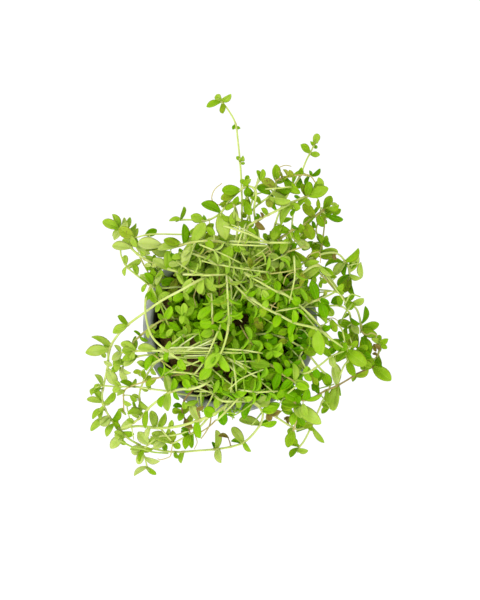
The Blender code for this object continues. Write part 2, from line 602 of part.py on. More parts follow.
def stem_mesh(name, route, radius, cutters):
    """A round stem along the route, made a mesh that leaves can be joined to."""
    curve = bpy.data.curves.new(name, "CURVE")
    curve.dimensions = "3D"
    spline = curve.splines.new("POLY")
    spline.points.add(len(route) - 1)
    for point, (x, y, z) in zip(spline.points, route):
        point.co = (x * MM, y * MM, z * MM, 1.0)
    curve.bevel_depth = radius * MM
    curve.bevel_resolution = 0
    curve.render_resolution_u = 0
    curve.use_fill_caps = True
    guide = add_object(name + "_guide", curve, cutters)
    bpy.context.view_layer.update()
    evaluated = guide.evaluated_get(bpy.context.evaluated_depsgraph_get())
    mesh = bpy.data.meshes.new_from_object(evaluated)
    bpy.data.objects.remove(guide)
    form = bmesh.new()
    form.from_mesh(mesh)
    bmesh.ops.remove_doubles(form, verts=form.verts, dist=WELD_DISTANCE * MM)
    form.to_mesh(mesh)
    form.free()
    mesh.name = name
    return mesh


def leaf_frame(base, tip, width):
    """Centre, half length, side and face directions of a leaf; one that looks narrow is rolled."""
    along = tip - base
    side = Vector((-along.y, along.x, 0.0)).normalized()
    face = along.cross(side).normalized()
    grown = max(width, WIDTH_TO_LENGTH * along.length)
    roll = math.acos(min(1.0, width / grown)) * ROLL_SHARE
    turned_side = side * math.cos(roll) + face * math.sin(roll)
    return (base + tip) / 2, along / 2, turned_side * grown / 2, along.cross(turned_side).normalized()


def add_leaf(form, base, tip, width, spare=0.0):
    """A thin leaf body, six-cornered or, if slender, four-cornered; spare widens it all round."""
    corners = 6 if width > BROAD_LEAF else 4
    centre, half, side, face = leaf_frame(base, tip, width)
    half = half * (1 + spare / half.length)
    side = side * (1 / math.sin(math.pi * (corners // 4 + 1) / corners) + spare / side.length)
    thick = face * (LEAF_THICKNESS / 2 + spare)
    shape = Matrix((half, side, thick)).transposed().to_4x4()
    place = Matrix.Scale(MM, 4) @ Matrix.Translation(centre) @ shape
    bmesh.ops.create_uvsphere(form, u_segments=corners, v_segments=2, radius=1.0, matrix=place)


def near_on_route(route, x, y):
    """The point of a stem's route that is nearest in plan to a place."""
    best = None
    for a, b in zip(route, route[1:]):
        step = b - a
        flat = step[0] ** 2 + step[1] ** 2
        t = ((x - a[0]) * step[0] + (y - a[1]) * step[1]) / flat if flat > 0 else 0.0
        spot = a + step * min(1.0, max(0.0, t))
        off = math.hypot(spot[0] - x, spot[1] - y)
        if best is None or off < best[0] - NEARER_BY:
            best = (off, spot)
    return Vector(best[1])


def leaf_ends(route, leaf, order):
    """Base on the stem, tip and width of one traced leaf, in millimetres."""
    base_px, base_py, tip_px, tip_py, width_px = leaf
    base = near_on_route(route, *plan_mm(base_px, base_py))
    x, y = plan_mm(tip_px, tip_py)
    flat = math.hypot(x - base.x, y - base.y)
    foreshortened = math.sqrt(max(0.0, GROWN_LEAF ** 2 - flat ** 2))
    rise = min(foreshortened, STEEPEST_LEAF * flat) * (1.0 if order % 2 else DROOP_SHARE)
    tip = Vector((x, y, max(base.z + rise, LEAF_THICKNESS)))
    base = base - (tip - base).normalized() * LEAF_OVERRUN
    return base, tip, width_px * MM_PER_PX


def leaf_tree(leaves, spare):
    form = bmesh.new()
    for base, tip, width in leaves:
        add_leaf(form, base, tip, width, spare)
    tree = BVHTree.FromBMesh(form)
    form.free()
    return tree


def free_leaves(route, leaves, others):
    """The shoot's leaves, each tilted a little up or down where it would touch something else."""
    kept = []
    for order, leaf in enumerate(leaves):
        base, tip, width = leaf_ends(route, leaf, order)
        for rise in TRIED_RISES:
            tried = (base, tip + Vector((0.0, 0.0, rise)), width)
            if tried[1].z < 2 * LEAF_THICKNESS:
                continue
            tree = leaf_tree([tried], LEAF_GAP)
            if not any(tree.overlap(other) for other in others):
                kept.append(tried)
                break
    return kept


def join_leaves(shoot, leaves, cutters):
    form = bmesh.new()
    for base, tip, width in leaves:
        add_leaf(form, base, tip, width)
    mesh = bpy.data.meshes.new(shoot.name + "_leaves")
    form.to_mesh(mesh)
    form.free()
    cutter = add_object(shoot.name + "_leaves", mesh, cutters)
    hide_as_cutter(cutter)
    join = shoot.modifiers.new("leaves", "BOOLEAN")
    join.operation = "UNION"
    join.solver = "EXACT"
    join.use_self = True
    join.object = cutter


def build_shoots(parts, cutters, fixed):
    """Every shoot: its stem first, then its leaves where they clear all the others."""
    green = new_material("leaf_green", (0.24, 0.45, 0.04), 0.45)
    radii = [thickness / 2 for _, thickness, _, _ in SHOOTS]
    routes = lay_over_one_another([stem_route(traced) for _, _, traced, _ in SHOOTS], radii)
    meshes = [stem_mesh(shoot[0], route, radius, cutters)
              for shoot, route, radius in zip(SHOOTS, routes, radii)]
    shoots = [add_object(shoot[0], mesh, parts, green) for shoot, mesh in zip(SHOOTS, meshes)]
    bpy.context.view_layer.update()
    depsgraph = bpy.context.evaluated_depsgraph_get()
    around = [BVHTree.FromObject(item, depsgraph) for item in fixed]
    stems = [BVHTree.FromObject(item, depsgraph) for item in shoots]
    placed = []
    for k, (item, route, (_, _, _, traced_leaves)) in enumerate(zip(shoots, routes, SHOOTS)):
        others = around + stems[:k] + stems[k + 1:] + placed
        leaves = free_leaves(route, traced_leaves, others)
        if leaves:
            join_leaves(item, leaves, cutters)
            placed.append(leaf_tree(leaves, 0.0))


def main():
    clear_scene()
    parts = new_collection("potted_pearlweed")
    cutters = new_collection("cutters")
    pot = build_pot(parts, cutters)
    wool = build_growing_wool(parts)
    build_shoots(parts, cutters, [pot, wool])


main()
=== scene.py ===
"""Looks of a potted pearlweed: the soft shoots with their pairs of small leaves, the low shoots
that crowd the pot, loose roots and withered bits, the growing wool and the grey slotted pot."""

import math
import random

import bmesh
import bpy
import numpy as np
from mathutils import Matrix, Vector
from mathutils.bvhtree import BVHTree


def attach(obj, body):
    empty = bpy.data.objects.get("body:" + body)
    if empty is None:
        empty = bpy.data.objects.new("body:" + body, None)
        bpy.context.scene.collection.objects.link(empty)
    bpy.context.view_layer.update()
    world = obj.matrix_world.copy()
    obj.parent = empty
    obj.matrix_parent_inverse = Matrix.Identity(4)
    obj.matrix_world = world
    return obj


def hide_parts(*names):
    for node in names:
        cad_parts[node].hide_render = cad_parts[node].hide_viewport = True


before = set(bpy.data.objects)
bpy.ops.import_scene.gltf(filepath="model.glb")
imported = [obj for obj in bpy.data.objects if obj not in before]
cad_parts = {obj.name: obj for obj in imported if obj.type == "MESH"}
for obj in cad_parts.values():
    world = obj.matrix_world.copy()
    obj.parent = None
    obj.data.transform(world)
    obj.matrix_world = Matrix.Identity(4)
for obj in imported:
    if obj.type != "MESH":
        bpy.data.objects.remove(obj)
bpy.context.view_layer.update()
MM = 0.001

# The pot and its wool, in millimetres, as the solids have them
RIM_DIAMETER = 52.0
POT_HEIGHT = 47.0
BASE_RADIUS = 18.0
FLOOR_THICKNESS = 1.4
WALL_THICKNESS = 1.4
LIP_WIDTH = 2.4
LIP_SKIRT = 3.4
ROUNDING = 0.4
PLUG_TOP = 43.0
PLUG_EDGE_DROP = 2.6
FIT_GAP = 0.35

# The shoots are laid out in the view from straight above: places along a route are pixels
# of that view, and heights are millimetres above the surface that the pot stands on.
RIM_CENTRE_PX = (230.2, 325.8)
RIM_RADIUS_PX = 87.4
MM_PER_PX = RIM_DIAMETER / 2 / RIM_RADIUS_PX
ROUTE_SPACING = 7.5
CURVE_STEPS = 12
NEARER_BY = 0.05

# How the stems are laid over one another
CONTACT_SPACING = 1.1
STEM_GAP = 0.4
MEETING_BREAK = 6
STEEPEST_CONTACT = 3.0
RIM_ZONE = (22.0, 27.3)
LIFT_ROUNDS = 900
EASED_ROUNDS = 630
EASING = 0.15
LIFT_STEP = 0.6
KNOT_REACH = 1.5

# The leaves, in millimetres
GROWN_LEAF = 5.0
WIDTH_TO_LENGTH = 0.52
LEAF_OVERRUN = 0.3
ROLL_SHARE = 0.8
STEEPEST_LEAF = 0.7
DROOP_SHARE = -0.5


def read_word(word):
    """A number, or the word itself where it starts with a letter."""
    return word if word[0].isalpha() else float(word)


def read_rows(text):
    """The rows of a table; commas part them, and spaces part the words of a row."""
    return [tuple(read_word(word) for word in row.split()) for row in text.split(",")]


def read_stems(text):
    """The stems of a table; semicolons part them, and colons part a stem's words, route and leaves."""
    stems = []
    for stem in text.split(";"):
        words, *lists = stem.split(":")
        stems.append((*map(read_word, words.split()), *map(read_rows, lists)))
    return stems


# Each shoot: its name, the stem's thickness in millimetres, the stem's route from its root to its
# end, and its leaves from base to tip, each with its width as it looks from above and its tone:
# w whitish, p pale, m middling, d deep, o olive, y yellowed, b browned.
SHOOTS = read_stems("""
shoot_north_tall 0.8: 238 260 44, 241 236 54, 242 210 59, 241.5 188 60, 240.5 168 59, 238 142 56,
235.5 124 54, 228 110 52, 221 101 50:
222 102 206.5 107 6 m, 221 101 231 94.5 6 m, 221 101 216 95 7 p, 222 103 223 114 5 o,
235.5 125 232.5 130 4 d, 236 128 240.5 129 3.5 d, 240 161 236.5 157 4 m, 240 161 243 156.5 4 m,
240.5 163 245 164 3 m;
shoot_northeast_up 0.8: 266 268 44, 271 240 54, 280 210 58, 290 191 57, 299 178 55, 306 161 52,
310 153.5 50, 314.5 144 47:
314.5 144 318 133.5 7.5 m, 314 145 310 141.5 4 m, 314 146 317.5 148 4 d, 310 153 300.5 145 7 m,
310 154 320 155 6 m, 300 177 301 168 6 m, 299 178 299 189 7 d;
shoot_north_bud 0.8: 248 262 44, 251 236 54, 249 212 60, 247 196 62, 246 183 61:
246 184 240 181 5 m, 246 184 251 180 5 p, 246 183 248 176 5 m, 247.5 198 248 188 8 d,
247 196 250 206 4 d, 249 211 243 200 8 m;
shoot_northwest_mid 0.9: 257 264 44, 259 240 55, 254 212 61, 256 193 62, 249 187 61, 240 191 60,
229 202 59, 220 214 58, 206 221 56, 190 220 54, 180 220 52:
240 191 222 191 11 m, 236 195 221 200 8 o, 220 213 201.5 204 9 d, 221 214 226 240 15 p,
204 221 191 216 10 m, 181 220 184 207 3 m, 181 220 169 221 4 m, 245 188 247 180 6 m;
shoot_northwest_bright 1: 226 262 44, 229 252 53, 226 244 60, 215 241.5 61, 200 241.5 60, 186 244 58,
172 248 56, 162 246 54:
163 246 138 243 12 p, 166 248 146 251 6 o, 179 245 164 240 8 o, 184 244 184 224 7 d,
193 243 205 223 13 p, 190 243 184 266 7 p, 228 244 239 240 10 p, 206 241.5 214 248 8 m;
shoot_west_top 0.7: 220 264 44, 214 254 52, 206 243 56, 196 236 56, 175 234.5 54, 150 234.5 50,
134 238 46:
146 235 157 230 8 d, 134 237 119 228 12 o, 135 238 135 247 7 d, 190 235.5 196 228 6 m,
206 243 212 232 8 o;
shoot_northwest_cluster 1.1: 206 276 44, 199 274 51, 185 273 56, 168 269 56, 150 262 53, 134 251 48,
126 239 44, 119 228 40:
118 227 102 221 10 m, 118 227 112 214 5 m, 121 231 124 217 4 p, 122 231 130 217 4 m,
124 234 136 223 5 m, 126 237 138 228 6 m, 119 229 112 236 5 m, 131 248 112 246 9 p, 130 244 136 242 6 d,
150 263 148 271 5 d, 152 262 155 255 4 d, 168 268 153 261 8 p, 166 268 170 251 9 m, 185 272 169 262 8 p,
122 232 127 222 9 p;
shoot_northwest_thin 0.8: 194 288 44, 180 287 50, 163 288 53, 150 285 52, 138 276 48, 127 267 44,
121 256 41, 120 247 40:
126 264 125 255 6 m, 127 267 134 261 5 m, 137 275 133 264 6 m, 152 286 140 275 4 p, 147 284 142 292 3 m,
155 286 161 272 6 m;
shoot_west_hoop 1: 209 368 44, 197 365 54, 180 359 62, 164 348 63, 152 335 61, 146 314 58, 147 296 56,
155 281 55, 164 274 54:
150 288 156 303 9 m, 156 280 162 270 6 m, 146 300 151 292 6 d, 180 359 186 369 7 m, 165 349 171 341 5 m,
168 351 166 360 5 d;
shoot_west_arc 1.1: 214 270 44, 206 277 53, 197 281.5 58, 180 291 59, 163 300 58, 147 311 55,
129 324 50, 117 336 45, 109 350 41, 107 368 37, 103 385 34, 101 400 31, 106 414 28, 115 427 26,
126 439 24, 137 446 22:
128 325 113 333 9 m, 128 324 118 316 4 m, 109 349 85 353 12 m, 111 346 91 337 5 m, 107 369 115 385 11 p,
101 402 92 391 7 m, 101 404 85.5 400 5 m, 102 404 114 393 5 m, 102 405 110 402 4 m, 102 390 90 395 3 d,
102 407 99 421 5 m, 108 418 100 427 11 p, 104 411 91 420 4 m, 108 419 89 432 4 m, 113 425 105 438 7 m,
111 421 118 410 6 d, 116 428 113 419 6 m, 119 431 130 420 7 p, 120 433 133 436 6 d,
122 436 109 450 10 p;
shoot_west_low 0.9: 188 324 44, 176 319 50, 163 320 53, 149 329 52, 140 336 49, 131 345 46:
150 329 157 325 6 p, 149 329 149 338 5 m, 150 329 156 333 4 m, 141 335 134 331 2.5 d,
140 336 148 341 3 d, 131 345 124 341 6 m, 132 344 136 336 3 m, 164 320 158 314 5 m;
shoot_west_bundle_1 1: 236 350 44, 214 348 52, 192 348 56, 170 350 56, 150 351 54, 134 351 50,
119 353 46:
156 350.5 138 348 8 p, 136 351 121 343 7 m, 120 352 114 345 4 m, 121 353 112 360 8 p,
128 352 129 343 6 d, 186 349 188 340 6 p, 134 351 131 360 6 m;
shoot_west_bundle_2 0.9: 226 358 44, 207 353 51, 185 353 54, 160 354 53, 140 356 49, 128 361 46,
121 369 43:
138 356 122 360 6 m, 126 363 113 364 7 m, 121 369 126 382 7 p, 122 367 131 373 3 m, 121 368 111 369 5 d,
183 353 187 365 6 p, 164 354 168 362 5 d;
shoot_west_bundle_3 0.8: 212 336 44, 205 342 51, 190 347 58, 170 355 59, 157 361 56, 148 367 50,
140 373 46:
151 364 157 352 6 d, 146 367 137 362 6 m, 141 371 133 372 5 o, 143 370 145 379 5 o;
shoot_west_bundle_4 0.9: 222 366 44, 207 358 50, 188 357 52, 170 358 51, 157 362 49, 150 370 46,
143 382 42, 139 395 38, 140 408 35, 140 417 33:
152 367 156 375 4 m, 143 381 151 376 7 o, 139 399 131 396 4 m, 140 401 149 409 5 m, 141 388 148 391 5 m,
140 411 133 416 5 m;
shoot_west_straw 0.6: 214 378 44, 196 373 50, 175 375 49, 157 378 47, 144 382 43, 132 386 40,
124 391 37, 123 401 35, 123 412 33:
156 378.5 146 385 7 o, 123.5 401 131 405 4 m, 130 386.5 136 379 4 m, 124 391 117 396 5 m,
163 377 159 367 6 d;
shoot_west_horizontal 0.8: 224 388 44, 206 395 48, 188 395 47, 167 391 45, 150 389 42, 135 387 39,
118 387 36, 100 386 33:
101 386 93 387 5 m, 101 386 94 375 4 m, 120 387 112 392 7 m, 135 387 120 382 4 d, 120 387 113 381 6 m,
150 389 146 381 5 m;
shoot_southwest_main 1.2: 218 372 44, 206 383 50, 194 388 51, 181 389 50, 170 392 48, 160 399 44,
150 407 40, 142 416 36, 132 424 33, 121 429 30:
169 392 165 374 9 p, 172 391 174 378 6 d, 169 393 168 411 9 m, 165 396 162 407 5 d,
175 391 179 400 3.5 d, 143 415 127 414 4 m, 141 417 131 408 5 m, 147 410 145 429 5 d,
190 388 184 379 8 m, 133 423 126 420 5 m;
shoot_southwest_thick 1.3: 246 386 44, 238 397 49, 228 404 50, 214 414 47, 199 420 43, 180 426 39,
160 428.5 35, 140 427 32, 128 428 30:
221 409 224 425 10 d, 214 413 204 409 12 m, 199 420 190 404 10 p, 197 421 200 438 8 m,
154 428 151 411 8 m, 158 428 165 413 7 m, 150 428 146 438 5 p, 169 427.5 172 420 5 m;
shoot_southwest_low 0.9: 234 390 44, 222 402 46, 208 418 43, 196 431 38, 184 438 35, 172 444 33,
160 441 31, 150 438 30:
171 444 151 434 9 p, 171 444 172 431 7 o, 160 441 147 443 8 m, 164 443 153 449 8 p, 172 444 180 449 7 m,
190 435 185 450 8 m, 193 433 191 449 4 m, 188 436 181 431 7 d;
shoot_southwest_tip 0.7: 240 378 44, 226 395 49, 210 412 45, 196 426 40, 184 433 37, 172 436 34,
160 437 31, 151 443 28, 142 452 25, 144 460 23, 146 469 20:
144 458 159 463 6 p, 146 469 133 478 4.5 p, 146 469 155 477 4.5 d, 144 450 139 463 4 d,
142 453 137 466 8 p, 143 451 129 451 5 m, 148 446 137 433 11 p, 165 437 168 428 4 m;
shoot_southwest_withered 0.6: 208 386 44, 198 386 48, 190 393 48, 184 401 45, 182 411 42, 186 422 40,
190 433 38:
184 401 185 409 6 m, 182 407 173 406 4 d, 182 411 172 411 7 o, 182 413 179 421 7 m, 183 414 189 405 7 o,
189 430 181 429 4 d, 187 424 193 414 6 o, 185 420 193 428 7 b;
shoot_south_hook 1: 202 374 44, 210 389 49, 221 400 52, 238 401 52, 252 402 50, 262 411 47, 261 423 43,
251 437 37, 242 444 33, 230 448 31, 215 450.5 28, 198 452 26, 180 453.5 24, 165 453 23, 151 450 22:
250 402 244 419 8 d, 260 425 239 420 8 p, 261 424 277 422 5 m, 260 426 268 419 4 d, 243 443 232 428 9 p,
243 443 251 452 5 m, 241 444 231 442 4 d, 215 450.5 216 431 5 p, 214 450.5 212 443 3 d,
217 450.5 221 464 8 p, 183 453 180 465 5 m, 174 453 179 460 4 d, 256 405 270 398 13 p,
262 411 278 407 10 m, 165 453 163 445 6 d;
shoot_south_southeast 0.9: 258 378 44, 262 396 48, 268 411 46, 276 417 43, 288 425 38, 298 430 34,
308 427 32:
288 425 284 418 3 b, 304 429 313 420 7 o, 297 429.5 302 418 8 d, 270 413 281 411 7 b,
268 411 270 421 7 b, 308 427 315 431 5 m, 293 428 288 434 5 m;
shoot_south_straw 0.8: 267 368 44, 280 390 50, 293 400 48, 298 411 44, 296 422 40, 293 433 36,
290 442 33:
296 402 281 408 11 o, 297 405 301 418 10 p, 297 404 321 424 14 p, 298 411 292 426 7 m,
298 413 304 426 8 d, 292 436 288 448 8 d, 291 438 298 444 5 m;
shoot_southeast_brown 0.8: 276 362 44, 283 380 50, 292 395 51, 303 400 49, 314 397 47, 325 391 45,
337 386 43, 348 380 40, 358 374 37, 367 370 35, 374 367 34:
374 367 392 381 13 m, 337 386 334 363 10 p, 338 386 333 411 10 p, 340 386 341 396 4 m,
303 400 292 391 10 d, 304 399.5 308 388 8 d, 319 394 312 384 7 d, 326 391 329 403 5 m,
358 374 353 382 5 m, 366 370 371 361 5 m;
shoot_south_tail 0.9: 224 350 44, 238 340 49, 252 335 53, 268 334 55, 284 338 55, 303 349 53,
318 366 48, 328 378 44, 330 388 41, 323 402 36, 314 423 30, 305 442 24, 298 451 21:
256 334 244 325 8 p, 257 333.5 261 317 7 o, 290 341 286 334 7 d, 303 349 316 353 8 o,
326 376 329 386 9 m, 324 374 313 384 7 d, 312 427 325 444 2.5 m, 311 430 297 433 3.5 d,
298 451 309 453 6 m, 299 450 291 459 4.5 m, 300 449 286 446 5 m, 323 403 331 408 6 m,
258 334 259 354 6 p, 256 334 250 342 6 p, 284 338 290 347 7 d;
shoot_southeast_cross 0.8: 277 349 44, 290 361 51, 303 373 54, 318 366 53, 330 357 51, 343 351 49,
352 346 47:
304 374 311 381 6 m, 303 374 307 366 4 m, 330 357 322 347 7 m, 331 357 334 367 7 p, 350 347 358 341 6 m,
343 351 345 342 6 d, 314 368 318 378 8 d;
shoot_south_red_node 1: 250 354 44, 259 361 50, 271 365 54, 283 374 56, 294 381 56:
294 381 292.5 363 7 p, 295 381 309 387 9 p, 293 381 280 389 7 m, 283 373 273 362 8 m,
280 371 274 389 9 m;
shoot_southeast_main_1 1.1: 222 272 44, 229 279 53, 243 293 59, 264 307 60, 281 316 59, 295 323 58,
314 328 55, 328 337 51, 341 347 47, 355 356 43, 366 364 39:
266 308 259 316 9 o, 294 322 293 310 7 p, 295 323 290 337 7 m, 316 329 321 355 14 m,
332 340 341 350 8 m, 346 352 366 365 15 m, 362 361 372 367 7 m, 279 315 274 327 9 p,
251 298 245 290 8 p, 264 307 268 300 7 p, 314 328 309 337 6 o;
shoot_southeast_main_2 1: 238 279 44, 248 281 55, 260 287 60, 275 291 62, 289 297 61, 301 307 59,
312 317 56, 322 329 52, 333 341 48, 345 354 44, 350 366 41:
277 292 277 281 8 m, 275 291 262 300 9 m, 291 298 300 303 10 m, 348 361 355 376 8 m,
345 355 333 361 8 p, 338 346 349 346 5 p, 260 287 257 296 6 m, 322 329 331 325 6 d;
shoot_southeast_star 0.8: 268 326 44, 288 326 50, 310 333 50, 332 346 46, 350 354 42, 366 360 37,
376 359 34, 380 351 33, 380 343 34:
380 343 380 335 5.5 m, 380 343 389 339 5.5 m, 380 343 388 349 5.5 m, 380 343 372 339 5.5 m,
367 360 362 337 10 d, 377 358 383 367 5 d, 372 360 381 370 9 m, 380 351 375 345 4 b,
378 356 373 354 3 b, 345 352 339 360 6 d, 296 328 304 338 9 d;
shoot_east_b 1.1: 281 291 44, 296 279 50, 308 269 53, 319 266 53, 330 279 49, 337 288 46, 344 299 43,
352 304 40, 358 311 38, 361 322 36, 362 329 35:
320 266 333 275 7 m, 362 324 366 306 3 d, 362 327 380 324 8 m, 362 329 378 336 9 m, 345 300 353 309 9 m,
352 304 364 298.5 6 p, 344 298 355 294 4 d, 343 297 331 303 9 d, 320 268 304 279 9 p;
shoot_east_b_inner 0.8: 290 310 44, 307 307 48, 325 306 49, 340 306 47, 349 312 44, 351 320 42,
354 330 40:
353 327 338 321 9 m, 352 325 359 334 8 p, 350 314 343.5 318 3 m, 351 317 360 324 3 d,
326 306 333 316 8 m, 340 306 337 296 6 d;
shoot_east_a 0.9: 283 284 44, 297 268 51, 312 258 53, 327 253 51, 338 254 48, 345 261 45, 349 268 43,
350 277 41:
345 261 358.5 248 7 m, 343 263 325 267 3 d, 346 262 334 275 8 p, 347 265 345 276 5 d,
349 269 356 260 8 d, 350 272 357 252 5 p, 350 274 362 278 5 p, 350 277 342 293 12 o,
350 277 355 296 4 d, 349.5 275 338 286 4 d, 334 253 336 260 4 b, 312 258 318 250 9 o;
shoot_east_rosette 0.9: 294 319 44, 300 310 50, 309 303 54, 317 300 55, 327 296 53, 337 291 51:
318 300 330 311 7 d, 320 299 329 304 6 d, 317 300 311 281 10 d, 337 291 343 284 6 m,
337 291 344 294 5 m, 311 302 304 296 6 o;
shoot_east_leafy 0.9: 276 282 44, 281 262 52, 288 251 56, 295 241 57, 302 234 56:
296 240 309 248 9 p, 283 258 290 238 9 p, 289 250 307 260 8 o, 291 248 301 266 5 d, 282 260 292 262 7 m,
302 234 300 224 7 m, 300 236 309 231 7 m, 281 262 272 256 7 d, 280 265 266 268 8 p;
shoot_east_brown 0.7: 283 304 44, 292 290 49, 306 270 51, 318 255 51, 322 243 50, 324 229 48,
325 218 46:
321 246 313 253 12 m, 322 241 330 246 7 d, 319 252 338 252 9 p, 318 255 336 255 7 o,
322 243 317 235 5 d, 325 219 320 212 4 o, 325 218 331 212 5 m, 304 280 301 292 8 m;
shoot_northeast_upper 1: 273 274 44, 272 256 52, 279 241 57, 291 231 58, 300 228 57, 310 220 54,
317 215 52, 325 209 50:
324 210 331 196 9 m, 325 209 338 206 5 m, 326 213 339 205 6 m, 325 214 343 220 4 d, 318 214 323 227 7 m,
315 217 304 227 6 d, 314 217 303 204 10 o, 290 232 273 229 8 d, 305 224 312 240 12 o,
279 241 274 250 6 m;
shoot_northeast_long 1.1: 243 270 44, 243 250 54, 247 229 60, 260 219.5 61, 271 214 61, 283 208 60,
296 201 58, 308 196 55, 314 190 54:
308 196 328 188.5 12 m, 307 196.5 308 182 8 d, 314 190 321 181 7 m, 294 202 281 226 7 m,
288 205.5 300 209 9 m, 268 215.5 261 209 5 m, 256 222 265 230 6 b, 249 228 256 234 5 m,
304 198 310 206 6 m;
shoot_northeast_mid 0.9: 252 271 44, 246 244 55, 248 218 60, 257 206 61, 268 198 60, 275 190 59,
276 182 58:
270 197 270 208 9 y, 273 193 277 211 4.5 d, 269 198 290 201 5 p, 276 186 292 191 5 d,
275 189 287 196 6 o, 271 195 256 188 7 d, 276 182 276 165 9 m, 275 188 261 180 8 y, 276 183 285 177 5 m,
260 203 250 199 6 m;
shoot_north_green 1.1: 233 268 44, 235 248 55, 238 226 60, 237 215 61, 234 205 61:
234 205 225 210 6 m, 234 205 238 197 6 m, 240 224 254 225 8 m, 236 211 235 228 6 m, 240 222 229 226 7 m;
inner_vertical_shoot 1: 228 283 44, 231 294 53, 228.5 306 59, 228.5 320 62, 227 335 62, 221 353 60,
212 366 57, 204 376 55:
221 353 205 368 11 p, 212 366 200 379 11 p, 221 354 229 371 7 m, 228 311 214 321 5 m,
228 311 243 317 7 m, 229 308 221 302 8 p;
inner_diagonal_shoot 0.9: 244 292 44, 236 300 53, 227 312 58, 219 329 60, 210 350 60, 205 361 59:
219 329 223 341 5 m, 219 329 210 327 6 m, 236 299 241 308 8 m, 206 360 198 357 6 m;
inner_olive_shoot 1: 214 346 44, 213 334 49, 213 318 54, 212 303 57:
212 303 226 298 8 p, 212 307 198 319 9 m, 213 324 200 323 12 m, 213 331 201 335 10 p,
212 303 207 293 6 m;
inner_rosette_west 0.8: 193 334 44, 189 325 50, 184 315 56:
184 315 176 306 6 p, 184 315 184 303 7 p, 184 315 194 307 6 p, 184 315 182 324 5 p, 184 315 189 325 5 p;
inner_node_west 0.9: 180 343 44, 174 333 50, 167 321 54, 163 310 56, 160 302 56:
168 323 180 330 8 m, 173 332 160 337 8 m, 176 336 193 327 10 m, 166 318 171 306 8 m,
161 304 156 312 5 m, 178 340 190 342 8 o;
inner_rosette_east 0.8: 288 370 44, 281 361 50, 273 351 56:
273 351 264 343 6 p, 273 351 281 342 7 p, 273 351 266 358 7 p, 273 351 282 353 6 p, 281 361 288 356 8 m;
inner_big_leaf_shoot 0.9: 258 368 44, 264 369 49, 269 366 53:
268 366 250 363 12 p, 269 366 279 368 8 m, 267 367 265 358 6 m;
inner_south_shoot 0.8: 240 368 44, 247 372 49, 254 376 53, 262 377 54:
252 375 246 389 9 m, 259 377 252 390 8 o, 261 377 264 364 5 d, 262 377 277 373 4 o, 247 372 239 363 6 m;
inner_southwest_shoot 0.9: 226 378 44, 231 388 50, 237 396 52, 244 399 52:
232 390 223 383 10 o, 244 399 253 397 6 p, 239 398 239 408 6 p, 236 395 247 391 8 m,
230 386 221 394 8 m;
inner_round_shoot 0.9: 284 326 44, 288 317 50, 285 308 54:
285 308 281 301 9 p, 287 311 299 303 10 m, 288 316 279 322 8 m, 287 312 294 318 7 m;
inner_star_shoot 0.8: 262 283 44, 257 276 50, 250 268 55:
250 268 250 248 6 m, 250 268 239 266 5 p, 250 268 261 259 5 o, 252 270 262 272 7 p, 250 268 244 279 7 m;
inner_north_shoot 0.9: 214 283 44, 221 271 50, 227 259 54, 232 247 56:
232 247 223 261 13 m, 223 266 208 255 12 m, 226 262 239 264 10 m, 222 269 237 277 12 m,
232 247 242 250 8 m;
inner_west_shoot 0.9: 200 304 44, 199 293 50, 201 281 54, 203 273 56:
200 282 204 294 9 m, 201 280 218 295 8 p, 203 273 199 258 8 m, 200 282 184 295 7 m, 203 273 217 268 9 m;
inner_old_shoot 0.8: 187 306 44, 182 295 47, 177 283 50:
180 288 168 298 12 y, 177 283 161 281 9 d, 177 283 188 281 5 o, 183 297 172 305 8 o;
inner_southeast_shoot 0.9: 290 346 44, 294 338 48, 297 328 51:
295 335 306 342 9 d, 294 338 283 345 9 d, 297 329 304 321 8 o, 297 328 289 322 7 m;
inner_east_shoot 0.9: 293 301 44, 300 296 50, 306 290 53, 312 285 54:
297 294 312 294 10 m, 302 290 301 270 8 m, 310 285 315 276 6 m, 303 289 292 287 8 m,
296 295 304 303 7 m""")

# The tone and age of a leaf or stem by its letter in the tables; age 0 is fresh and 1 is brown.
TONES = {"w": (1.0, 0.0), "p": (0.85, 0.0), "m": (0.6, 0.0), "d": (0.32, 0.0), "o": (0.45, 0.42),
         "y": (0.9, 0.6), "b": (0.25, 1.0)}

# Most stems are a bright yellow-green; these are not. With two letters a stem's tone changes
# from its root to its end.
STEM_TONES = {
    "shoot_west_straw": "y", "shoot_southwest_withered": "b", "shoot_south_straw": "y",
    "shoot_southeast_brown": "ob", "shoot_east_brown": "o", "inner_old_shoot": "b",
    "inner_olive_shoot": "o", "shoot_south_red_node": "o", "shoot_northeast_upper": "o",
    "shoot_west_low": "o", "inner_rosette_west": "m", "inner_node_west": "m",
    "inner_rosette_east": "m", "inner_south_shoot": "m", "inner_southwest_shoot": "m",
    "inner_round_shoot": "m", "inner_southeast_shoot": "m", "inner_east_shoot": "m",
}

